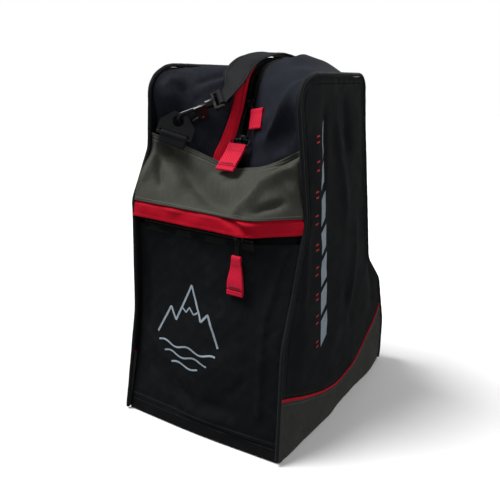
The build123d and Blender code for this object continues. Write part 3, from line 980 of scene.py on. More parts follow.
def sew_panel(name: str, place: Placer, cells: tuple[int, int], size: tuple[float, float],
              outward: Sequence[float], finish: Finish, node: str, thickness: float = CANVAS,
              hem: float = HEM) -> None:
    """Lay cloth on a surface, give it its thickness and put it in place of a CAD node.

    Args:
        name: Name of the piece.
        place: Takes u and v, each from 0 to 1, and returns points in space.
        cells: Cells across and along.
        size: Width and length of the cloth, in metres.
        outward: Roughly the way that its face looks.
        finish: Its finish.
        node: The CAD node that it replaces.
        thickness: Thickness of the cloth.
        hem: Width of the rounding of its edges.
    """
    cloth = cloth_grid(name, *cells, place, size, outward)
    thicken(cloth, thickness, hem=hem)
    dress(cloth, finish, ROOT, [node])


def zip_tooth() -> bpy.types.Object:
    """Model one zip tooth: its head points to -x, its root is moulded round the tape."""
    deselect()
    bpy.ops.mesh.primitive_cube_add(size=1, scale=(0.0032, 0.0015, 0.0024))
    bpy.ops.object.mode_set(mode="EDIT")
    bpy.ops.mesh.select_all(action="SELECT")
    bpy.ops.mesh.bevel(offset=0.00035, segments=1, affect="EDGES")
    bpy.ops.object.mode_set(mode="OBJECT")
    return active()


def set_teeth(name: str, places: list[Matrix], node: str) -> None:
    """Set a row of zip teeth in place of a CAD node.

    Args:
        name: Name of the piece.
        places: Where each tooth stands.
        node: The CAD node that it replaces.
    """
    teeth = stamp(name, places, zip_tooth)
    fix_normals(teeth)
    dress(teeth, ZIP_TEETH, ROOT, [node])


# ------------------------------------------------------------------ side panels
TOP_AND_BACK = [(-128, 465), (31, 465), (44, 400), (94, 198), (150, 152), (183, 70), (183, 0), (150, 0)]
TOP_AND_BACK_ROUNDS = [60, 18, 120, 34, 30, 50, 18]
FRONTS = {
    Side.LEFT: ([(-165, 0), (-182, 0), (-170, 150), (-182, 303), (-155, 366), (-159, 449)],
                [6, 150, 20, 30, 26]),
    Side.RIGHT: ([(-165, 0), (-182, 0), (-176, 150), (-125, 296), (-159, 449)], [6, 60, 60, 26]),
}
STRIPE_PATH = [(-200, 94), (-173, 86), (-81, 55), (26, 41), (118, 75), (200, 124)]


@dataclass
class SidePanel:
    """One side of the bag: black panel, red stripe, grey corner, piping and stitching.

    Attributes:
        side: Which side it is.
        height: Height up the leaning panel.
        face: Distance of its outer face from its inner plane.
        stripe: Heights of the stripe at its front and rear ends.
        pillow: How far the middle of the panel stands out.
        seed: Seed of its unevenness.
        creases: Folds, charted on y and the height up the panel.
        outline: Its edge as (y, height), from the front of the base round to the back.
    """

    side: Side
    height: float = 0.465
    face: float = 0.003
    stripe: tuple[float, float] = (0.0042, 0.0022)
    pillow: float = 0.0030
    seed: int = 11
    creases: tuple[Crease, ...] = ()
    outline: Array = field(init=False)

    def __post_init__(self) -> None:
        """Work out the panel's outline and its two edges."""
        front, rounds = FRONTS[self.side]
        self.outline = rounded_path(front + TOP_AND_BACK, rounds + TOP_AND_BACK_ROUNDS, 3.0) * MM
        top = np.nonzero(self.outline[:, 1] > self.height - 2e-5)[0]
        self.front_edge = self.outline[: top[0] + 1]
        self.back_edge = self.outline[top[-1]:][::-1]
        self.columns = np.linspace(0, 1, 161)
        heights = np.linspace(0.0, 0.16, 321)
        over = [heights > self.stripe_height(self.across(u, heights)) for u in self.columns]
        self.stripe_at = heights[np.argmax(over, axis=1)]

    def stripe_height(self, y: Array) -> Array:
        """Return the height of the stripe's upper edge at y."""
        line = spline(STRIPE_PATH, np.linspace(0, 1, 120)) * MM
        return np.interp(y, line[:, 0], line[:, 1])

    def stripe_edge(self, u: Array) -> Array:
        """Return the height of the stripe's upper edge at a share across the panel."""
        return np.interp(u, self.columns, self.stripe_at)

    def ends(self, up: Array) -> tuple[Array, Array]:
        """Return y of the panel's front and back edges at a height."""
        front, back = self.front_edge, self.back_edge
        return np.interp(up, front[:, 1], front[:, 0]), np.interp(up, back[:, 1], back[:, 0])

    def across(self, u: Array, up: Array) -> Array:
        """Return y at a share across the panel and a height."""
        front, back = self.ends(up)
        return front + u * (back - front)

    def relief(self, y: Array, up: Array) -> Array:
        """Return how far the outer face stands out at a place, besides its own thickness.

        Args:
            y: Distance back from the middle of the base.
            up: Height up the panel.

        Returns:
            One distance for each place.
        """
        front, back = self.ends(up)
        inside = np.minimum(np.minimum(y - front, back - y), self.height - up)
        place = np.stack([y, up], axis=1)
        # The padded middle, then long and short waves.
        rise = self.pillow * smoothstep(inside / 0.06) * (0.65 + 0.35 * smoothstep((0.4 - up) / 0.3))
        rise = rise + waves(place, inside, 0.0011, 0.03, self.seed, 0.13)
        rise = rise + waves(place, inside, 0.00035, 0.02, self.seed + 1, 0.035)
        # Puckers and a groove along the stitches by the piping, and the stripe's seam.
        rise = rise + 0.00028 * bell(inside - 0.008, 0.007) * ripple(place, self.seed + 2, 0.013)
        rise = rise - 0.0007 * bell(inside - 0.0095, 0.0016)
        rise = rise - 0.0008 * bell(up - self.stripe_height(y), 0.006)
        return rise + folds(self.creases, place) * smoothstep(inside / 0.02)

    def point(self, y: Array, up: Array, proud: float | Array = 0.0) -> Array:
        """Return the place in space of a place on the panel's outer face.

        Args:
            y: Distance back from the middle of the base.
            up: Height up the panel.
            proud: Distance outside the face.

        Returns:
            The points in space.
        """
        out = self.face + self.relief(y, up) + proud
        x = self.side.value * (INNER_HALF - math.sin(LEAN) * up + math.cos(LEAN) * out)
        return np.stack([x, y, math.cos(LEAN) * up + math.sin(LEAN) * out], axis=1)

    def fall(self, u: Array) -> Array:
        """Return the stripe's own height across the panel."""
        return self.stripe[0] + (self.stripe[1] - self.stripe[0]) * u

    def build(self) -> None:
        """Build the side's panels, stripe, piping and stitching."""
        outward = (self.side.value, 0, 0)

        def upper(u: Array, v: Array) -> Array:
            """Return points of the black panel."""
            low = self.stripe_edge(u)
            up = low + (self.height - low) * (1 - (1 - v) ** 1.5)
            return self.point(self.across(u, up), up)

        def accent(u: Array, v: Array) -> Array:
            """Return points of the red stripe."""
            up = self.stripe_edge(u) - self.fall(u) * (1 - v)
            return self.point(self.across(u, up), up, 0.0009 * np.sin(np.pi * v) + 0.0004)

        def corner(u: Array, v: Array) -> Array:
            """Return points of the grey corner panel, which runs under the stripe."""
            up = (self.stripe_edge(u) - 0.3 * self.fall(u)) * v
            return self.point(self.across(u, up), up)

        word = self.side.word
        for name, place, rows, size, finish, node, thickness in (
            ("side_cloth", upper, 150, (0.3, 0.42), BLACK, "side_panel", CANVAS),
            ("corner_cloth", corner, 30, (0.36, 0.07), CORNER, "corner_panel", CANVAS),
            ("stripe_cord", accent, 6, (0.36, 0.004), RED, "side_stripe", 0.002),
        ):
            sew_panel(f"{name}_{word}", place, (130, rows), size, outward, finish, f"{node}_{word}",
                      thickness)
        self.build_piping()
        self.build_stitching()

    def offset_outline(self, inwards: float) -> Array:
        """Return the outline moved inwards, or outwards where that is negative."""
        tangents = unit(np.gradient(self.outline, axis=0))
        normals = np.stack([tangents[:, 1], -tangents[:, 0]], axis=1)
        return self.outline + normals * inwards

    def build_piping(self) -> None:
        """Lay the piping round the panel's edge, with the binding's small creases."""
        outside, foot, stand = 0.0026, 0.0030, 0.0021
        line = self.offset_outline(-outside)
        line = refine(line[line[:, 1] > foot], 0.0022)
        y, up = line.T
        x = self.side.value * (INNER_HALF - math.sin(LEAN) * up + math.cos(LEAN) * stand)
        path = np.stack([x, y, math.cos(LEAN) * up + math.sin(LEAN) * stand], axis=1)
        creased = 0.035 * ripple(path, self.seed + 5, 0.011) + 0.03 * ripple(path, self.seed + 6, 0.05)
        cord = tube(f"piping_{self.side.word}", path, 0.0025 * (1 + creased), 14, (1, 0, 0))
        dress(cord, PIPING, ROOT, [f"edge_piping_{self.side.word}"])

    def build_stitching(self) -> None:
        """Sew round the panel beside its piping, and along both sides of the stripe."""
        normal = np.array([self.side.value * math.cos(LEAN), 0, math.sin(LEAN)])
        line = self.offset_outline(0.0062)
        keep = line[:, 1] > self.stripe_height(line[:, 0]) + 0.004
        points = self.point(line[keep, 0], line[keep, 1])
        sew_row(f"edge_stitches_{self.side.word}", points, normal, BLACK_THREAD)
        u = np.linspace(0.012, 0.988, 200)
        for word, shift, thread in (("upper", 0.0042, BLACK_THREAD), ("lower", -0.0042, GREY_THREAD)):
            up = self.stripe_edge(u) + shift - (self.fall(u) if shift < 0 else 0)
            points = self.point(self.across(u, up), up)
            sew_row(f"stripe_stitches_{word}_{self.side.word}", points, normal, thread)


@dataclass
class SideMarks:
    """Generic printed bars that run up the right side panel.

    Attributes:
        panel: The side that carries them.
        foot: (y, height) of the column's lower end.
        head: (y, height) of its upper end.
    """

    panel: SidePanel
    foot: tuple[float, float] = (-0.072, 0.118)
    head: tuple[float, float] = (-0.098, 0.405)

    def bar(self, corners: Sequence[tuple[float, float]], name: str, ink: Finish) -> None:
        """Print one four-cornered bar on the panel.

        Args:
            corners: Its corners as (y, height).
            name: Name of the piece.
            ink: Its finish.
        """
        a, b, c, d = [np.asarray(p, float) for p in corners]

        def place(u: Array, v: Array) -> Array:
            """Return points of the print."""
            low = a + (b - a) * u[:, None]
            high = d + (c - d) * u[:, None]
            flat = low + (high - low) * v[:, None]
            return self.panel.point(flat[:, 0], flat[:, 1], 0.00022)

        dress(cloth_grid(name, 8, 12, place, (0.02, 0.03), (self.panel.side.value, 0, 0)), ink)

    def build(self) -> None:
        """Print the slanted bars and the row of ticks in front of them."""
        foot, head = np.asarray(self.foot), np.asarray(self.head)
        run = head - foot
        length = float(np.linalg.norm(run))
        along = run / length
        across = np.array([along[1], -along[0]])
        spans = [(0.00, 0.13), (0.16, 0.27), (0.30, 0.42), (0.45, 0.55), (0.58, 0.70), (0.74, 0.83),
                 (0.87, 1.0)]
        for i, (low, high) in enumerate(spans):
            wide = across * (0.019 - 0.0021 * i) + along * 0.010
            start, end = foot + run * low, foot + run * high
            self.bar([start, start + wide, end + wide, end], f"side_bar_{i}", PALE_INK)
        ticks = 9
        wide, tall = across * 0.0075, along * 0.0022
        for i in range(ticks):
            base = foot + run * (0.02 + 0.93 * i / (ticks - 1)) - across * 0.016
            for word, step in (("foot", 0.0), ("head", 0.0105 if i % 2 else 0.007)):
                start = base + along * step
                corners = [start, start + wide, start + wide + tall, start + tall]
                self.bar(corners, f"side_tick_{i}_{word}", RED_INK)


# ------------------------------------------------------------------ front, pocket and yoke
FACE_FOOT, FACE_TOP = 21.0, 272.0


@dataclass
class FrontPocket:
    """The front of the bag: base band, pocket face with its print, red band and grey yoke.

    Attributes:
        columns: Cells across the pocket's face.
        seed: Seed of the unevenness.
        face: The pocket's face once it is built, which carries the print.
    """

    columns: int = 150
    seed: int = 31
    face: Loft | None = None

    def uneven(self, points: Array, u: Array, v: Array, coarse: float, fine: float, seed: int) -> Array:
        """Return gentle unevenness that dies away at a panel's edges.

        Args:
            points: Points of the panel.
            u: Their shares across it.
            v: Their shares up it.
            coarse: Height of the long waves.
            fine: Height of the short ones.
            seed: Seed of both.

        Returns:
            One distance for each point.
        """
        inside = np.minimum(from_edge(u) * FRONT_WIDTH, from_edge(v) * 0.2)
        chart = points[:, [0, 2]]
        rise = waves(chart, inside, coarse, 0.02, seed, 0.08)
        return rise + waves(chart, inside, fine, 0.006, seed + 1, 0.022)

    def sew_hem(self, surface: Loft, name: str, v: float, thread: Finish) -> None:
        """Sew one row of stitches across a panel at a share of its height.

        Args:
            surface: The panel.
            name: Name of the piece.
            v: The share of its height.
            thread: The thread's finish.
        """
        inset = 0.012
        u = np.linspace(inset, 1 - inset, 240)
        sew_surface(name, surface, u, np.full_like(u, v), thread)

    def build(self) -> None:
        """Build every piece of the front."""
        self.build_base_band()
        self.build_face()
        self.build_band()
        self.build_yoke()

    def build_base_band(self) -> None:
        """Build the coated band along the floor."""
        surface = Loft(
            [edge_line(Side.LEFT, [(-180, 2), (-178, 21)]), upright_line(0, [(-184.5, 2), (-183, 21)]),
             edge_line(Side.RIGHT, [(-180, 2), (-178, 21)])], [0, 0.5, 1], 0.15,
            relief=lambda p, u, v: 0.0006 * np.sin(np.pi * v) * ripple(p[:, [0, 2]], self.seed, 0.05))
        sew_panel("base_band_cloth", surface.at, (120, 10), (FRONT_WIDTH, 0.02), FRONTWARDS, COATED,
                  "front_base_band")
        self.sew_hem(surface, "base_band_stitches", 0.80, BLACK_THREAD)

    def build_face(self) -> None:
        """Build the pocket's face, its inner wall and the print."""
        creases = (
            Crease(((-104, 250), (-92, 170), (-98, 90)), -3.2, 9, hold_start=True),
            Crease(((-60, 74), (0, 46), (70, 58)), -3.6, 11),
            Crease(((-70, 52), (-6, 28), (70, 36)), 2.6, 9),
            Crease(((94, 262), (84, 180), (88, 60)), 2.4, 5, hold_start=True, hold_end=True),
            Crease(((60, 255), (66, 200), (60, 140)), -2.2, 8, hold_start=True),
            Crease(((-44, 100), (-20, 60), (30, 30)), 2.8, 9),
            Crease(((-30, 130), (20, 110), (74, 150)), 1.8, 12),
            Crease(((-106, 130), (-60, 96), (-24, 84)), 2.0, 8, hold_start=True),
            Crease(((40, 60), (64, 96), (70, 150)), -1.6, 7),
        )

        def relief(p: Array, u: Array, v: Array) -> Array:
            """Return the folds of the pocket's face."""
            chart = p[:, [0, 2]]
            rise = self.uneven(p, u, v, 0.0009, 0.00022, self.seed + 3)
            # The belly of a filled pocket, and a groove along the lower stitches.
            belly = smoothstep(v / 0.35) * (1 - smoothstep((v - 0.35) / 0.4))
            rise = rise + 0.004 * (1 - (2 * u - 1) ** 2) * belly
            rise = rise + folds(creases, chart) * smoothstep(from_edge(u) * FRONT_WIDTH / 0.02)
            return rise - 0.0005 * bell(v - 0.03, 0.012)

        top = FACE_TOP
        surface = Loft(
            [edge_line(Side.LEFT, [(-178.5, FACE_FOOT), (-167, 110), (-168, 190), (-175.5, top)]),
             upright_line(0, [(-183, FACE_FOOT), (-181, 110), (-177, 190), (-175, top)]),
             upright_line(62, [(-183, FACE_FOOT), (-181, 110), (-177, 190), (-175, top)]),
             edge_line(Side.RIGHT, [(-178.5, FACE_FOOT), (-175, 120), (-165, 190), (-134, top)])],
            [0, 0.5, 0.766, 1], 0.06, relief=relief)
        self.face = surface
        sew_panel("pocket_face_cloth", surface.at, (self.columns, 150), (FRONT_WIDTH, 0.25), FRONTWARDS,
                  BLACK, "front_panel")
        self.sew_hem(surface, "pocket_face_stitches", 0.02, BLACK_THREAD)
        wall = Loft(
            [edge_line(Side.LEFT, [(-168, 8), (-157, 110), (-158, 190), (-163, 283.5)]),
             upright_line(0, [(-172, 8), (-168, 110), (-163, 190), (-160, 283.5)]),
             upright_line(62, [(-172, 8), (-168, 110), (-163, 190), (-160, 283.5)]),
             edge_line(Side.RIGHT, [(-168, 8), (-164, 120), (-152, 190), (-122, 283.5)])],
            [0, 0.5, 0.766, 1], 0.05,
            relief=lambda p, u, v: self.uneven(p, u, v, 0.0006, 0.0002, self.seed + 9))
        sew_panel("pocket_wall_cloth", wall.at, (60, 60), (FRONT_WIDTH, 0.27), FRONTWARDS, BLACK,
                  "inner_front_wall")
        self.print_mountain()

    def stroke(self, name: str, line: Sequence[tuple[float, float]], width: float, ink: Finish) -> None:
        """Print a line on the pocket's face.

        Args:
            name: Name of the piece.
            line: Points of the line as (x, z) in millimetres.
            width: Width of the line, in metres.
            ink: Its finish.
        """
        path = refine(np.asarray(line, float) * MM, 0.0015)
        tangents = unit(np.gradient(path, axis=0))
        side = np.stack([-tangents[:, 1], tangents[:, 0]], axis=1)

        def place(u: Array, v: Array) -> Array:
            """Return points of the printed line."""
            k = row_number(v, path)
            flat = path[k] + side[k] * ((u - 0.5) * width)[:, None]
            half = INNER_HALF - SEAM_GAP
            up = (flat[:, 1] - FACE_FOOT * MM) / ((FACE_TOP - FACE_FOOT) * MM)
            return self.face.at((flat[:, 0] + half) / (2 * half), up, 0.00028)

        dress(cloth_grid(name, 2, len(path) - 1, place, (width, 0.2), FRONTWARDS), ink)

    def print_mountain(self) -> None:
        """Print a plain outline of two peaks over three waves."""
        peaks = [(-76, 128), (-56, 168), (-45, 152), (-22, 204), (-2, 160), (8, 172), (26, 132)]
        snow_line = [(-37, 172), (-29, 166), (-23, 174), (-15, 166), (-8, 171)]
        self.stroke("print_peaks", peaks, 0.0030, PALE_INK)
        self.stroke("print_snow_line", snow_line, 0.0022, PALE_INK)
        for i, (level, start, end) in enumerate(((118, -72, 24), (106, -60, 12), (94, -46, -2))):
            x = np.linspace(start, end, 40)
            wave = [(float(a), level + 2.4 * math.sin((a - start) / 6.5)) for a in x]
            self.stroke(f"print_wave_{i}", wave, 0.0024, PALE_INK)

    def build_band(self) -> None:
        """Build the red band over the pocket's zip."""
        tucks = (
            Crease(((28, 304), (44, 297), (60, 286)), -4.5, 4.2, hold_start=True, hold_end=True),
            Crease(((40, 305), (56, 299), (72, 293)), 3.2, 4.2, hold_start=True),
            Crease(((-70, 304), (-40, 298), (-20, 300)), 1.6, 5),
        )

        def relief(p: Array, u: Array, v: Array) -> Array:
            """Return the band's padded shape and its small tucks."""
            rise = 0.0044 * v * (1 - v) + 0.0007 * ripple(p[:, [0, 2]], self.seed + 12, 0.03)
            rise = rise + 0.0008 * bell(v - 0.04, 0.1)
            rise = rise + folds(tucks, p[:, [0, 2]])
            # The top edge runs back behind the yoke.
            rise = rise - 0.0006 * bell(v - 0.80, 0.05)
            return rise - (0.0016 + np.maximum(rise, 0)) * smoothstep((v - 0.72) / 0.2)

        foot, head = 282.5, 304.6
        surface = Loft(
            [edge_line(Side.LEFT, [(-186, foot), (-184, head)]),
             upright_line(0, [(-187, foot), (-185.5, head)]),
             upright_line(60, [(-188, foot), (-187, head)]),
             edge_line(Side.RIGHT, [(-133, foot), (-129, head)])],
            [0, 0.5, 0.76, 1], 0.035, relief=relief)
        sew_panel("pocket_band_cloth", surface.at, (160, 22), (0.25, 0.022), FRONTWARDS, RED,
                  "pocket_zip_cover", PADDED, hem=0.0009)
        self.sew_hem(surface, "band_stitches_upper", 0.66, RED_THREAD)
        self.sew_hem(surface, "band_stitches_lower", 0.12, RED_THREAD)

    def build_yoke(self) -> None:
        """Build the grey yoke with its deep folds and stitched upper hem."""
        creases = (
            Crease(((-82, 364), (-62, 350), (-36, 334), (-6, 320), (24, 313), (44, 315)), -17, 8.5,
                   hold_start=True),
            Crease(((-24, 341), (4, 327), (36, 329)), 6, 8),
            Crease(((-94, 358), (-82, 340), (-66, 318)), -8, 4.5),
            Crease(((-104, 372), (-99, 348), (-93, 324)), 6, 11, hold_start=True),
            Crease(((-78, 370), (-63, 343), (-34, 316)), 5, 8, hold_start=True),
            Crease(((110, 374), (82, 357), (58, 337), (46, 310)), 10, 6.0, hold_start=True, hold_end=True),
            Crease(((106, 381), (78, 365), (54, 345)), -5, 3.6, hold_start=True),
            Crease(((54, 312), (72, 316), (92, 323)), -9, 5),
            Crease(((104, 342), (84, 332)), 4.5, 12),
        )

        def relief(p: Array, u: Array, v: Array) -> Array:
            """Return the folds of the yoke."""
            chart = p[:, [0, 2]]
            rise = self.uneven(p, u, v, 0.0010, 0.0003, self.seed + 20)
            edges = smoothstep(from_edge(u) * FRONT_WIDTH / 0.012) * smoothstep(v / 0.08)
            rise = rise + folds(creases, chart) * edges
            # The roll of the upper hem, and the hollow between its two rows of stitches.
            return rise + 0.0010 * bell(v - 0.985, 0.02) - 0.0007 * bell(v - 0.93, 0.012)

        foot = 302.5
        surface = Loft(
            [edge_line(Side.LEFT, [(-185.5, foot), (-174, 338), (-157, 361), (-156, 386)]),
             upright_line(-58, [(-187, foot), (-174, 325), (-153, 346), (-139, 370)]),
             upright_line(0, [(-187.5, foot), (-162, 320), (-138, 334), (-121, 347)]),
             upright_line(40, [(-188.5, foot), (-164, 322), (-142, 339), (-122, 353)]),
             upright_line(62, [(-189.5, foot), (-165, 323), (-144, 345), (-128, 362)]),
             edge_line(Side.RIGHT, [(-131.5, foot), (-132, 335), (-138, 362), (-143, 384)])],
            [0, 0.25, 0.5, 0.671, 0.766, 1], 0.045, (0, -1, 0.6), relief)
        sew_panel("yoke_cloth", surface.at, (180, 110), (0.25, 0.1), (0, -1, 0.6), GREY, "front_yoke",
                  PADDED, hem=0.0008)
        for i, v in enumerate((0.955, 0.905)):
            self.sew_hem(surface, f"yoke_hem_stitches_{i}", v, GREY_THREAD)
        self.sew_hem(surface, "yoke_foot_stitches", 0.04, GREY_THREAD)


# ------------------------------------------------------------------ back and base
@dataclass
class BackAndBase:
    """The back panel, the base and the stiffening board in it.

    Attributes:
        seed: Seed of the unevenness.
    """

    seed: int = 61

    def build(self) -> None:
        """Build the back, and dress the base and its board."""
        back = [(44, 396), (50, 350), (67, 290), (83, 232), (100, 188), (132, 163), (158, 120), (175, 80),
                (181, 40), (179, 3)]
        belly = [(y + 3, z) for y, z in back]

        def relief(p: Array, u: Array, v: Array) -> Array:
            """Return the folds of the back."""
            inside = np.minimum(from_edge(u) * FRONT_WIDTH, from_edge(v) * 0.45)
            rise = waves(p, inside, 0.0014, 0.03, self.seed, 0.09)
            rise = rise + waves(p, inside, 0.0004, 0.012, self.seed + 1, 0.03)
            heel = Crease(((-80, 176), (0, 170), (80, 178)), -3.0, 12)
            return rise + heel.lift(p[:, [0, 2]])

        surface = Loft([edge_line(Side.LEFT, back), upright_line(0, belly), edge_line(Side.RIGHT, back)],
                       [0, 0.5, 1], 0.12, (0, 1, 0.2), relief)
        sew_panel("back_cloth", surface.at, (110, 170), (FRONT_WIDTH, 0.45), (0, 1, 0.2), BLACK, "back_panel")
        v = np.linspace(0.01, 0.99, 260)
        for side, u in ((Side.LEFT, 0.03), (Side.RIGHT, 0.97)):
            sew_surface(f"back_stitches_{side.word}", surface, np.full_like(v, u), v, BLACK_THREAD)
        low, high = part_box("base_panel")

        def floor_cloth(u: Array, v: Array) -> Array:
            """Return points of the base's underside."""
            x = low.x + (high.x - low.x) * u
            y = low.y + (high.y - low.y) * v
            fray = 0.0002 * (1 + ripple(np.stack([x, y], axis=1), self.seed + 3, 0.04))
            return np.stack([x, y, low.z + 0.0006 + fray * 0.5], axis=1)

        sew_panel("base_cloth", floor_cloth, (60, 90), (FRONT_WIDTH, 0.35), (0, 0, -1), COATED, "base_panel",
                  0.0022)
        restyle("base_board", STIFFENER)


def restyle(node: str, finish: Finish, edge: float = 0.0) -> None:
    """Give a carried-over CAD node a finish, and round its edges where asked.

    Args:
        node: The CAD node.
        finish: Its finish.
        edge: Width of the rounding of its edges.
    """
    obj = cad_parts[node]
    obj.data.materials.clear()
    obj.data.materials.append(finish.material())
    obj.data.polygons.foreach_set("material_index", [0] * len(obj.data.polygons))
    if edge:
        weld = obj.modifiers.new("weld", "WELD")
        weld.merge_threshold = 0.00001
        bevel = obj.modifiers.new("bevel", "BEVEL")
        bevel.width, bevel.segments = edge, 2
        bevel.limit_method, bevel.angle_limit = "ANGLE", math.radians(38)
        bevel.use_clamp_overlap = True
        bevel.harden_normals = False
    LOG.info("%s: CAD shape in %s", node, finish.name)


# ------------------------------------------------------------------ top gusset and main zip
ZIP_FOOT, ZIP_HEAD = np.array([-110.0, 352.0]), np.array([-78.0, 455.0])
FLAP_TAIL, FLAP_END = 22.0, 128.0
CREST = [(-60, 471), (-28, 480), (10, 483), (35, 471), (44, 438), (45, 399)]
SLOPE = (ZIP_HEAD - ZIP_FOOT) / np.linalg.norm(ZIP_HEAD - ZIP_FOOT)
SLOPE_OUT = np.array([0.0, -SLOPE[1], SLOPE[0]])


@dataclass
class TopGusset:
    """The navy gusset over the top, its two rows of zip teeth and the red storm flap.

    Attributes:
        hem: Distance of the gusset's inner hems from the middle of the zip, in millimetres.
        open_from: Travel from the zip's foot to the front slider, behind which the teeth stand apart.
        open_to: Travel to the rear slider.
        gape_at: Travel to the place where they stand furthest apart.
        tooth_out: Distance of a closed tooth from the middle.
        tape_out: Distance of a closed tape's middle from the middle.
        seed: Seed of the unevenness.
        left_cloth: Points of the left half once it is built, which the flap keeps clear of.
    """

    hem: float = 9.6
    open_from: float = 0.012
    open_to: float = 0.110
    gape_at: float = 0.055
    tooth_out: float = 0.0016
    tape_out: float = 0.0074
    seed: int = 81
    left_cloth: Array | None = None

    def zip_line(self, extra: float = 0.0) -> Array:
        """Return the middle line of the main zip, with a stretch below its foot.

        Args:
            extra: Length of that stretch, in millimetres.

        Returns:
            Points of the line, in metres.
        """
        straight = [tuple(ZIP_FOOT - SLOPE * extra)] if extra else []
        straight += [tuple(ZIP_FOOT + (ZIP_HEAD - ZIP_FOOT) * k / 4) for k in range(5)]
        line = spline(straight + CREST, np.linspace(0, 1, 500)) * MM
        return refine(np.column_stack([np.zeros(500), line]), 0.0013)

    @staticmethod
    def ways(line: Array) -> tuple[Array, Array]:
        """Return the ways along a zip line and out of it.

        Args:
            line: Points of the line.

        Returns:
            The two unit vectors at each point.
        """
        along = unit(np.gradient(line, axis=0))
        out = unit(np.cross(along, np.array([-1.0, 0.0, 0.0])))
        return along, out * np.sign(out[0] @ SLOPE_OUT)

    def build(self) -> None:
        """Build the gusset, the zip and the flap."""
        for side in Side:
            self.build_cloth(side)
        self.build_zip()
        self.build_flap()

    def build_cloth(self, side: Side) -> None:
        """Build one half of the gusset, with its folds.

        Args:
            side: Which half.
        """
        s = side.value
        back = [(-69, 464), (-18, 463), (20, 461), (37, 448), (42, 427), (44, 399)]
        front = {
            Side.LEFT: [(-146, 372), (-150, 411), (-157, 440), (-146, 455), (-120, 462)],
            Side.RIGHT: [(-132, 370), (-146, 411), (-157, 440), (-146, 455), (-120, 462)],
        }[side]
        middle = [tuple(ZIP_FOOT - SLOPE * 17), (-94, 403.5), tuple(ZIP_HEAD), *CREST]
        edge = edge_line(side, front + back)
        hem = upright_line(s * self.hem, middle)
        crest = 0.014 if side is Side.RIGHT else 0.004
        creases = {
            Side.LEFT: (
                Crease(((-84, 454), (-71, 441), (-58, 428), (-50, 408)), -5.5, 6),
                Crease(((-94, 458), (-82, 440), (-76, 418)), 4.5, 9),
                Crease(((-68, 447), (-50, 456), (-32, 465)), -4.5, 6),
                Crease(((-62, 440), (-44, 450), (-28, 456)), 3.0, 7),
                Crease(((-100, 400), (-85, 410), (-66, 416)), -3.0, 9),
                Crease(((-62, 402), (-48, 392), (-34, 378)), -4.5, 9),
            ),
            Side.RIGHT: (
                Crease(((100, 460), (66, 416), (34, 376)), 7.0, 6, hold_start=True),
                Crease(((106, 436), (88, 408), (64, 382)), -2.6, 11),
                Crease(((60, 462), (44, 440), (26, 412)), -3.5, 11),
                Crease(((88, 380), (70, 372), (52, 362)), 2.5, 7),
            ),
        }[side]

        def relief(p: Array, u: Array, v: Array) -> Array:
            """Return the sag and folds of the gusset."""
            inside = from_edge(u) * 0.1
            chart = p[:, [0, 2]]
            # It sags between the zip and the side, less so in front of the strap.
            forward = smoothstep((-p[:, 1] - 0.05) / 0.03)
            rise = -0.0035 * np.sin(np.pi * np.clip(u, 0, 1)) * (1 - 0.5 * forward)
            rise = rise + waves(p, inside, 0.0016, 0.02, self.seed + s, 0.07)
            rise = rise + waves(p, inside, 0.0004, 0.01, self.seed + 2 + s, 0.024)
            # The crown stands up beside the strap.
            from_zip = u if side is Side.RIGHT else 1 - u
            crown = smoothstep(from_zip / 0.25) * (1 - smoothstep((from_zip - 0.5) / 0.45))
            rise = rise + crest * crown * bell(p[:, 1] + 0.012, 0.038)
            edges = smoothstep(inside / 0.012) * smoothstep(v / 0.04)
            return rise + folds(creases, chart) * edges * forward

        lines = [edge, hem] if side is Side.LEFT else [hem, edge]
        surface = Loft(lines, [0, 1], 0.0, (0, -0.5, 1), relief, lift=0.0012)
        if side is Side.LEFT:
            u, v = (g.ravel() for g in np.meshgrid(np.linspace(0, 1, 60), np.linspace(0, 0.5, 110)))
            self.left_cloth = surface.at(u, v)
        sew_panel(f"gusset_cloth_{side.word}", surface.at, (90, 240), (0.1, 0.36), (0, -0.4, 1), NAVY,
                  f"top_panel_{side.word}", 0.0014)
        v = np.linspace(0.02, 0.99, 320)
        inner = 0.955 if side is Side.LEFT else 0.045
        sew_surface(f"gusset_stitches_{side.word}", surface, np.full_like(v, inner), v, BLACK_THREAD)

    def spread(self, travel: Array) -> Array:
        """Return how far the teeth stand apart beyond their closed place, along the zip.

        Args:
            travel: Distances from the zip's foot.

        Returns:
            One distance for each of them.
        """
        begun = smoothstep((travel - self.open_from) / 0.006)
        ended = smoothstep((travel - self.open_to) / 0.008)
        return 0.0023 * begun * (1 - ended) + 0.0020 * bell(travel - self.gape_at, 0.016)

    def build_zip(self) -> None:
        """Build the zip's teeth and tapes."""
        line = self.zip_line()
        at = distances(line)
        along, out = self.ways(line)
        apart = self.spread(at)
        depth, wide = 0.0075, 0.030
        lining = ribbon("zip_lining", line - out * depth, (1, 0, 0), wide, 0.0008, cup=-0.002)
        dress(lining, BLACK)
        for side in Side:
            s = side.value
            centre = line + np.column_stack([s * (self.tape_out + apart * 0.8), np.zeros((len(line), 2))])
            tape = ribbon(f"zip_tape_{side.word}", centre, (1, 0, 0), 0.0088, ZIP_CLOTH, columns=6)
            dress(tape, ZIP_TAPE, ROOT, [f"main_zip_tape_{side.word}"])
            places = []
            for k in range(int(at[-1] / TOOTH_PITCH) - 1):
                travel = (k + 0.5 + 0.25 * s) * TOOTH_PITCH
                i = int(np.searchsorted(at, travel))
                x = s * (self.tooth_out + float(self.spread(np.array([travel]))[0]))
                places.append(placed((s, 0, 0), along[i], out[i], line[i] + np.array([x, 0, 0])))
            set_teeth(f"zip_teeth_{side.word}", places, f"main_zip_teeth_{side.word}")

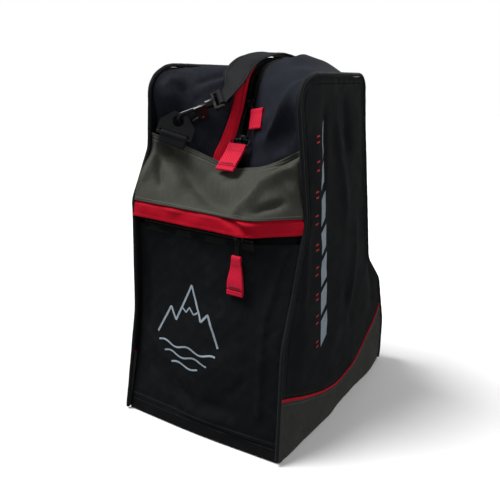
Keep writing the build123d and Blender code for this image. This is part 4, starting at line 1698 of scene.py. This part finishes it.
    def clear_of_cloth(self, points: Array, gap: float = 0.0016) -> Array:
        """Lift points off the left half of the gusset where they would lie in it.

        Args:
            points: The points.
            gap: Least distance in front of the gusset's face.

        Returns:
            The points, some of them moved outwards.
        """
        cloth = self.left_cloth
        up = np.array([0.0, SLOPE[0], SLOPE[1]])
        flat = np.stack([cloth[:, 0], cloth @ up], axis=1)
        lift = cloth @ SLOPE_OUT
        moved = points.copy()
        for i, point in enumerate(points):
            away = np.hypot(flat[:, 0] - point[0], flat[:, 1] - point @ up)
            near = np.argpartition(away, 4)[:4]
            if away[near].min() < 0.004:
                weight = 1 / (away[near] + 1e-5)
                level = float((lift[near] * weight).sum() / weight.sum()) + gap
                moved[i] += SLOPE_OUT * max(0.0, level - float(point @ SLOPE_OUT))
        return moved

    def build_flap(self) -> None:
        """Build the red storm flap along the left of the zip, turned up in its middle."""
        line = self.zip_line(FLAP_TAIL)
        at = distances(line) - FLAP_TAIL * MM
        keep = at < FLAP_END * MM
        line, at = line[keep], at[keep]
        out = self.ways(line)[1]
        knots = np.array([
            # travel, distance of the middle to the left, lift, width, tilt in degrees
            (-FLAP_TAIL, 25.0, 9.0, 17.0, 24), (0, 23.5, 9.5, 18.0, 26), (24, 18.5, 10.0, 17.0, 29),
            (50, 12.6, 11.6, 15.5, 34), (80, 11.0, 12.4, 14.5, 36), (104, 10.6, 10.0, 12.5, 32),
            (FLAP_END, 10.4, 6.0, 8.0, 22),
        ])
        smooth = spline(knots, np.linspace(0, 1, 200))
        left, lift, width, tilt = (np.interp(at, smooth[:, 0] * MM, smooth[:, k]) for k in range(1, 5))
        left, lift, width, tilt = left * MM, lift * MM, width * MM, np.radians(tilt)
        across = np.column_stack([np.cos(tilt), np.zeros((len(at), 2))]) - out * np.sin(tilt)[:, None]
        path = line + out * lift[:, None]
        path[:, 0] -= left

        def place(u: Array, v: Array) -> Array:
            """Return points of the flap."""
            k = row_number(v, path)
            s = (u - 0.5) * 2
            point = path[k] + across[k] * (s * width[k] / 2)[:, None]
            curl = -0.0014 * s * s + 0.0005 * ripple(point, self.seed + 9, 0.03) * (0.3 + np.abs(s))
            point = point + out[k] * curl[:, None]
            return self.clear_of_cloth(point)

        sew_panel("storm_flap_cloth", place, (16, len(path) - 1), (0.015, 0.15), (0, -1, 0.3), FLAP_RED,
                  "main_zip_flap", 0.0013, hem=0.0004)
        for word, share in (("inner", 0.80), ("outer", 0.16)):
            row_line = path + across * ((share - 0.5) * width)[:, None]
            curl = -0.0014 * ((share - 0.5) * 2) ** 2
            row_line = self.clear_of_cloth(row_line + out * (curl + 0.0003)) + out * 0.0005
            sew_row(f"storm_flap_stitches_{word}", row_line, out, RED_THREAD, 0.0032)


@dataclass
class PocketZip:
    """The pocket's zip under the red band.

    Attributes:
        start: x of its left end.
        end: x of its right end.
        y: Its depth.
        z: Its height.
    """

    start: float = -0.096
    end: float = 0.066
    y: float = -0.176
    z: float = 0.279

    def build(self) -> None:
        """Build its teeth and tapes."""
        for sign, word in ((-1, "lower"), (1, "upper")):
            x = np.linspace(self.start, self.end, 130)
            level = self.z + sign * 0.0100
            sway = 0.0003 * ripple(x[:, None], 5 + sign, 0.04)
            path = np.column_stack([x, self.y + sway, np.full_like(x, level)])
            tape = ribbon(f"pocket_tape_{word}", path, (0, 0, 1), 0.0084, ZIP_CLOTH, columns=6)
            dress(tape, ZIP_TAPE, ROOT, [f"pocket_zip_tape_{word}"])
            starts = [self.start + (k + 0.5 + 0.25 * sign) * TOOTH_PITCH
                      for k in range(int((self.end - self.start) / TOOTH_PITCH))]
            level = self.z + sign * 0.0030
            places = [placed((0, 0, sign), (1, 0, 0), (0, 1, 0), (x, self.y, level)) for x in starts]
            set_teeth(f"pocket_teeth_{word}", places, f"pocket_zip_teeth_{word}")


# ------------------------------------------------------------------ pulls
@dataclass
class Pull:
    """A webbing pull that hangs from a slider.

    Attributes:
        word: Last part of its pieces' names.
        body: CAD body that it rides on.
        hinge: The middle of the slider's arch.
        down: The way that it hangs.
        out: The way that its front looks.
        start: Distance of its head below the hinge.
        length: Length of the folded webbing.
        width: Width of the webbing.
        nodes: CAD nodes that it replaces.
        cord: Length of the cord that carries it, or none for a ring.
        lip: Distance of the slot at its end from the end.
        hang: The ways down and across of webbing that hangs askew from its cord, by its corner.
        head_width: Width at its head, as a share of the width.
        mark_rows: Distances of dark stitches from its end.
    """

    word: str
    body: str
    hinge: tuple[float, float, float]
    down: tuple[float, float, float]
    out: tuple[float, float, float]
    start: float
    length: float
    width: float
    nodes: tuple[str, ...]
    cord: float = 0.0
    lip: float = 0.0065
    hang: tuple[tuple[float, float, float], ...] = ()
    head_width: float = 1.0
    mark_rows: tuple[float, ...] = ()

    def build(self) -> None:
        """Build the folded webbing, its stitches and its cord."""
        hinge, down, out = (np.array(v, float) for v in (self.hinge, self.down, self.out))
        down, out = unit(down), unit(out)
        across = np.cross(down, out)
        if self.cord:
            self.build_cord(hinge, down, out, across)
        if self.hang:
            corner = hinge + down * self.start
            down, across = (unit(np.array(v, float)) for v in self.hang)
            across = unit(across - down * (across @ down))
            out = np.cross(across, down)
            hinge = corner + across * (self.width / 2 - 0.002) - down * self.start
        head, end = self.start, self.start + self.length
        layer = 0.00105
        slot = end - self.lip
        back = np.linspace(self.length - 0.007, 0.006, 12)
        front = np.linspace(0.006, self.length - self.lip - 0.0032, 12)
        eye = 0.0012 if self.cord else 0.0021
        # One loop in side view: the lip, the lower fold, up the back, round the eye and down the front.
        curve = [(slot + 0.0006, layer + 0.0007), (slot + 0.002, layer + 0.0003), (end - 0.0022, layer)]
        curve += [(end - layer + layer * math.cos(a) * 0.9, layer * math.sin(a))
                  for a in np.linspace(1.2, -1.2, 6)]
        curve += [(end - 0.004, -layer)]
        curve += [(head + d, -layer + 0.0002 * math.sin(d * 260)) for d in back]
        curve += [(head - eye * math.cos(a), eye * math.sin(a)) for a in np.linspace(-1.15, 1.15, 9)]
        curve += [(head + d, layer + 0.00035 * math.sin(d * 230 + 1)) for d in front]
        curve += [(slot - 0.0016, layer * 0.6), (slot - 0.0008, 0.0)]
        flat = refine(spline(curve, np.linspace(0, 1, 400)), 0.0007)
        path = hinge + down * flat[:, :1] + out * flat[:, 1:2]
        spread = smoothstep((flat[:, 0] - head) / (0.8 * self.length))
        width = self.width * (self.head_width + (1 - self.head_width) * spread)
        loop = ribbon(f"pull_webbing_{self.word}", path, across, width, 0.00125, columns=14,
                      wobble=0.00012, seed=len(self.word))
        dress(loop, RED_WEBBING, self.body, [n for n in self.nodes if "loop" in n])

        def sew_across(name: str, depth: float, half: float, proud: float, pitch: float,
                       thread: Finish) -> None:
            """Sew a short row across the webbing's front, at a distance below the hinge."""
            u = np.linspace(-half, half, 30)[:, None]
            line = hinge + down * depth + out * (layer + proud) + across * u
            sew_row(name, line, out, thread, pitch, self.body)

        for i, below in enumerate((0.0065, 0.0095)):
            half = 0.42 * self.width * self.head_width
            sew_across(f"pull_tack_{self.word}_{i}", head + below, half, 0.00085, 0.0022, RED_THREAD)
        for i, rise in enumerate(self.mark_rows):
            half = 0.36 * self.width
            sew_across(f"pull_mark_{self.word}_{i}", end - rise, half, 0.0009, 0.0021, BLACK_THREAD)

    def build_cord(self, hinge: Array, down: Array, out: Array, across: Array) -> None:
        """Build the doubled cord that is looped through the slider's arch.

        Args:
            hinge: The middle of the arch.
            down: The way that it hangs.
            out: The way that its front looks.
            across: The way from side to side.
        """
        points = [(0.0011, self.cord + 0.003), (0.0011, self.cord - 0.006), (0.0015, 0.009), (0.0020, 0.0045),
                  (0.0012, 0.0008), (0.0, 0.0000), (-0.0012, 0.0008), (-0.0020, 0.0045), (-0.0015, 0.009),
                  (-0.0011, self.cord - 0.006), (-0.0011, self.cord + 0.003)]
        flat = spline(points, np.linspace(0, 1, 90))
        path = hinge + across * flat[:, :1] + down * flat[:, 1:2]
        cord = tube(f"pull_cord_{self.word}", path, 0.0009, 10, tuple(out))
        dress(cord, BLACK_WEBBING, self.body, [n for n in self.nodes if "cord" in n])


# ------------------------------------------------------------------ rings, hooks and the strap
@dataclass
class Rigging:
    """The two rings on their tabs, the snap hooks, and the carry strap with its adjuster.

    Attributes:
        hole_height: Height of a ring's hole over its lower bar.
        set_back: How far a hook's nose stands past the middle of the hole.
        bend: Distance of the hook's shank from its nose.
        eye_at: Distance of the strap's bar from the hook's origin.
        twist: How far the hooks are turned about their length.
        strap_x: Where the strap crosses the bag.
        strap_top: Height of the strap's middle at its highest.
    """

    hole_height: float = 0.019
    set_back: float = 0.0010
    bend: float = 0.0085
    eye_at: float = 0.0589
    twist: float = math.radians(45)
    strap_x: float = -0.017
    strap_top: float = 0.4886

    def ring_frame(self, place: str) -> tuple[Array, Array, Array]:
        """Return the origin, the way across and the outward way of a ring.

        Args:
            place: Which ring.

        Returns:
            The origin and the two unit vectors.
        """
        if place == "rear":
            origin = np.array([self.strap_x - self.bend * math.sin(self.twist), 0.064, 0.332])
            return origin, np.array([-1.0, 0, 0]), np.array([0, 1.0, 0])
        yaw, tilt, drop = math.radians(28), math.radians(12), math.radians(15)
        out = np.array([math.sin(yaw) * math.cos(tilt), -math.cos(yaw) * math.cos(tilt), math.sin(tilt)])
        level = np.array([math.cos(yaw), math.sin(yaw), 0])
        across = level * math.cos(drop) - np.array([0, 0, math.sin(drop)])
        across = across - out * (across @ out)
        return np.array([-0.072, -0.150, 0.383]), unit(across), out

    def hook_frame(self, place: str) -> tuple[Array, Array]:
        """Return the origin and the length's way of a snap hook.

        Args:
            place: Which hook.

        Returns:
            The origin and the unit vector.
        """
        origin, x, z = self.ring_frame(place)
        y = np.cross(z, x)
        angle = math.radians(90 if place == "rear" else 38)
        along = x * math.cos(angle) + y * math.sin(angle)
        side = x * math.sin(angle) - y * math.cos(angle)
        gate = side * math.sin(self.twist) - z * math.cos(self.twist)
        nose = origin + y * self.hole_height + along * self.set_back
        return nose - gate * self.bend, along

    def build(self) -> None:
        """Build the tabs and the strap, and dress the moulded hardware."""
        for place in ("front", "rear"):
            self.build_tab(place)
            edges = {"ring": 0.0007, "hook": 0.0005, "strap_eye": 0.0006, "hook_gate": 0.0004}
            for node, edge in edges.items():
                restyle(f"{node}_{place}", MOULDING, edge)
            restyle(f"gate_pin_{place}", WIRE, 0.0002)
        restyle("strap_adjuster", MOULDING, 0.0006)
        self.build_strap()

    def build_tab(self, place: str) -> None:
        """Build the webbing roll that holds a ring's lower bar.

        Args:
            place: Which ring.
        """
        origin, x, z = self.ring_frame(place)
        y = np.cross(z, x)
        legs = ((0.0125, 0.0010), (0.008, 0.0016))
        lead = [origin - y * drop + z * proud for drop, proud in legs]
        roll, wide = 0.0035, 0.034
        angles = np.linspace(-0.5, math.pi + 0.5, 18)
        turn = [origin + roll * (z * math.cos(a) + y * math.sin(a)) for a in angles]
        tail = [origin - y * drop - z * proud for drop, proud in reversed(legs)]
        path = refine(spline(np.array(lead + turn + tail), np.linspace(0, 1, 120)), 0.0008)
        tab = ribbon(f"ring_webbing_{place}", path, x, wide, 0.0015, columns=16, wobble=0.00012, seed=4)
        dress(tab, BLACK_WEBBING, ROOT, [f"ring_tab_{place}"])
        for i, drop in enumerate((0.0062, 0.0092)):
            u = np.linspace(-0.015, 0.015, 30)[:, None]
            line = origin - y * drop + z * (0.0026 - 0.06 * (drop - 0.0062)) + x * u
            sew_row(f"ring_tack_{place}_{i}", line, z, BLACK_THREAD, 0.0026)

    def build_strap(self) -> None:
        """Build the carry strap from eye to eye."""
        front_origin, front_along = self.hook_frame("front")
        rear_origin, rear_along = self.hook_frame("rear")
        front_bar = front_origin + front_along * self.eye_at
        rear_bar = rear_origin + rear_along * self.eye_at
        x_axis = np.array([1.0, 0, 0])
        bar_way = unit(x_axis - front_along * front_along[0])
        facing = np.cross(front_along, bar_way)
        facing = facing * np.sign(facing[2])
        radius = 0.0034
        wrap = [front_bar + radius * (facing * math.sin(a) * -1 - front_along * math.cos(a))
                for a in np.linspace(-1.9, 1.45, 14)]
        x, top = self.strap_x, self.strap_top
        front, rear = front_bar[1:], rear_bar[1:]
        way_over = (
            (x - 0.001, front[0] + 0.0080, front[1] + 0.0125), (x, front[0] + 0.0150, front[1] + 0.0230),
            (x, -0.078, top - 0.0135), (x, -0.045, top - 0.0035), (x, 0.005, top), (x, 0.040, top - 0.004),
            (x, rear[0] - 0.0035, top - 0.013), (x, rear[0], rear[1] + 0.049), (x, rear[0], rear[1] + 0.036),
            (x, rear[0], rear[1] + 0.022), (x, rear[0] + 0.0002, rear[1] + 0.0095),
        )
        arch = [front_bar + front_along * 0.0035 + facing * 0.0010, *way_over]
        loop = [rear_bar + radius * np.array([0, -math.cos(a), math.sin(a)])
                for a in np.linspace(0.6, -3.9, 16)]
        knots = np.array(arch + loop)
        path = refine(spline(knots, np.linspace(0, 1, 900)), 0.0022)
        mix = smoothstep(np.linalg.norm(path - path[0], axis=1) / 0.045)[:, None]
        across = unit(bar_way * (1 - mix) + x_axis * mix)
        at = distances(path)
        near_rear = at[-1] - at
        # Narrow enough for the eyes at both ends, full width between them.
        at_eye, full = 0.026, 0.038
        opened = smoothstep(at / 0.030) * smoothstep((near_rear - 0.018) / 0.014)
        width = at_eye + (full - at_eye) * opened
        strap = ribbon("strap_webbing", path, across, width, 0.0019, cup=0.0004, columns=18,
                       wobble=0.00025, seed=8)
        dress(strap, BLACK_WEBBING, "strap", ["carry_strap"])
        tangents = unit(np.gradient(path, axis=0))
        up = unit(np.cross(across, tangents))
        up = up * np.sign(up[len(up) // 3][2])
        part = slice(int(np.searchsorted(at, 0.014)), int(np.searchsorted(at, at[-1] - 0.05)))
        for i, share in enumerate((-0.36, 0.36)):
            line = path + across * (share * width)[:, None] + up * 0.0012
            sew_row(f"strap_stitches_{i}", line[part], up[part], STRAP_THREAD, 0.0034, "strap")
        tuck = [front_bar + front_along * 0.0055 - facing * 0.0026,
                np.array([x + 0.001, front_bar[1] + 0.0105, front_bar[2] + 0.0115])]
        hem = refine(spline(np.array([*reversed(wrap), *tuck]), np.linspace(0, 1, 120)), 0.0009)
        end = ribbon("strap_front_fold", hem, bar_way, 0.0255, 0.0017, columns=14, wobble=0.0002, seed=9)
        dress(end, BLACK_WEBBING, "strap")


# ------------------------------------------------------------------ sliders, studio and the whole
def dress_sliders() -> None:
    """Dress the sliders and the front pull's ring, which keep their CAD shapes."""
    for node in ("main_slider_front", "main_slider_rear", "pocket_slider"):
        restyle(node, ZIP_METAL, 0.0004)
    restyle("main_pull_ring_front", ZIP_METAL, 0.0004)


@dataclass
class Studio:
    """The floor, the soft lights and the camera.

    Attributes:
        eye: Where the camera stands.
        azimuth: The way that it looks, in degrees round from the front.
        elevation: How far it looks down, in degrees.
        roll: Its tilt, in degrees.
        lens: Focal length, in millimetres.
        key: Strength of the soft sun.
        key_way: The way that it shines.
        fill: Strength of the light from all round.
    """

    eye: tuple[float, float, float] = (0.4119, -0.7944, 0.4779)
    azimuth: float = 29.6
    elevation: float = 16.6
    roll: float = 3.0
    lens: float = 45.72
    key: float = 3.5
    key_way: tuple[float, float, float] = (0.42, 0.36, -0.83)
    fill: float = 0.30

    def build(self) -> None:
        """Set up the whole studio."""
        self.build_camera()
        self.build_floor()
        self.build_lights()

    def build_camera(self) -> None:
        """Add the camera and make it the scene's."""
        a, e, r = (math.radians(v) for v in (self.azimuth, self.elevation, self.roll))
        back = Vector((math.sin(a) * math.cos(e), -math.cos(a) * math.cos(e), math.sin(e)))
        right = Vector((math.cos(a), math.sin(a), 0))
        up = back.cross(right)
        turned_right = right * math.cos(r) + up * math.sin(r)
        turned_up = up * math.cos(r) - right * math.sin(r)
        data = bpy.data.cameras.new("camera")
        data.lens, data.sensor_width, data.clip_start = self.lens, 36.0, 0.01
        camera = bpy.data.objects.new("camera", data)
        bpy.context.scene.collection.objects.link(camera)
        camera.matrix_world = placed(turned_right, turned_up, back, self.eye)
        bpy.context.scene.camera = camera

    def build_floor(self) -> None:
        """Add the pale floor."""
        deselect()
        bpy.ops.mesh.primitive_circle_add(vertices=96, radius=7.0, fill_type="NGON")
        floor = active()
        floor.name = floor.data.name = "floor"
        floor.data.materials.append(FLOOR.material())
        floor.visible_diffuse = floor.visible_glossy = False

    def lamp(self, name: str, where: Sequence[float], aim: Sequence[float], size: float,
             power: float) -> None:
        """Add one soft area light.

        Args:
            name: Name of the light.
            where: Its place.
            aim: The point that it faces.
            size: Side of its square.
            power: Its power, in watts.
        """
        data = bpy.data.lights.new(name, "AREA")
        data.size, data.energy = size, power
        light = bpy.data.objects.new(name, data)
        light.location = where
        light.rotation_euler = (Vector(aim) - Vector(where)).to_track_quat("-Z", "Y").to_euler()
        bpy.context.scene.collection.objects.link(light)

    def build_lights(self) -> None:
        """Light the bag with a soft sun from the upper left, and a lamp at the right and behind."""
        sun = bpy.data.lights.new("overhead", "SUN")
        sun.energy, sun.angle = self.key, math.radians(30)
        overhead = bpy.data.objects.new("overhead", sun)
        overhead.rotation_euler = Vector(self.key_way).to_track_quat("-Z", "Y").to_euler()
        bpy.context.scene.collection.objects.link(overhead)
        middle = (0, 0, 0.3)
        self.lamp("right", (1.6, -0.7, 1.0), middle, 1.0, 5)
        self.lamp("rear", (0.3, 1.7, 1.3), middle, 1.2, 9)
        world = bpy.data.worlds.new("studio")
        world.use_nodes = True
        nodes, links = world.node_tree.nodes, world.node_tree.links
        path = nodes.new("ShaderNodeLightPath")
        level = nodes.new("ShaderNodeMapRange")
        level.inputs["To Min"].default_value, level.inputs["To Max"].default_value = self.fill, 1.0
        links.new(path.outputs["Is Camera Ray"], level.inputs["Value"])
        links.new(level.outputs["Result"], nodes["Background"].inputs["Strength"])
        nodes["Background"].inputs["Color"].default_value = (1, 1, 1, 1)
        bpy.context.scene.world = world
        bpy.context.scene.view_settings.view_transform = "Standard"


def main() -> None:
    """Build the bag piece by piece round its frame."""
    logging.basicConfig(level=logging.INFO, format="%(name)s %(message)s")
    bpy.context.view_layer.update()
    Studio().build()
    right = SidePanel(Side.RIGHT, seed=11, creases=(
        Crease(((-96, 452), (-88, 380), (-84, 300)), -2.6, 7),
        Crease(((-70, 460), (-50, 400), (-20, 330), (0, 250)), 3.0, 11),
        Crease(((-40, 452), (-22, 400), (-4, 350)), -2.2, 9),
        Crease(((30, 300), (36, 230), (20, 150), (10, 90)), 2.6, 10),
        Crease(((-14, 200), (20, 140), (50, 100)), -2.4, 10),
        Crease(((96, 210), (120, 150), (128, 100)), -2.8, 12),
        Crease(((-150, 60), (-80, 44), (-10, 26)), -2.0, 8),
        Crease(((120, 60), (150, 40), (176, 50)), -2.6, 8),
        Crease(((-128, 330), (-122, 240), (-130, 160)), 1.8, 8),
    ))
    left = SidePanel(Side.LEFT, seed=23, creases=(
        Crease(((-120, 430), (-96, 340), (-100, 260)), -2.8, 9),
        Crease(((-40, 456), (-20, 380), (-30, 300)), 2.6, 11),
        Crease(((-60, 300), (-10, 250), (50, 230)), 2.4, 14),
        Crease(((10, 120), (60, 100), (120, 100)), -2.6, 10),
        Crease(((60, 240), (100, 180), (126, 120)), 2.2, 11),
    ))
    for panel in (right, left):
        panel.build()
    SideMarks(right).build()
    FrontPocket().build()
    BackAndBase().build()
    TopGusset().build()
    PocketZip().build()
    dress_sliders()
    Pull("main_front", "main_pull_front", (0, -0.106447, 0.382311), (0, -0.7314, -0.6820),
         (0, -0.6820, 0.7314), 0.010, 0.040, 0.025, ("main_pull_loop_front",),
         mark_rows=(0.0092, 0.0099, 0.0106)).build()
    Pull("main_rear", "main_pull_rear", (0, -0.091613, 0.430059), (0.639, -0.497, -0.587),
         (-0.430, -0.864, 0.262), 0.0186, 0.024, 0.020, ("main_pull_loop_rear", "main_pull_cord_rear"),
         cord=0.016,
         hang=((0.10, -0.33, -0.94), (0.93, -0.25, 0.15))).build()
    Pull("pocket", "pocket_pull", (0.046, -0.1816, 0.279), (0, 0, -1), (0, -1, 0),
         0.0236, 0.048, 0.022, ("pocket_pull_loop", "pocket_pull_cord"), cord=0.021,
         head_width=0.55, mark_rows=(0.0096, 0.0103)).build()
    Rigging().build()


if __name__ == "__main__":
    main()
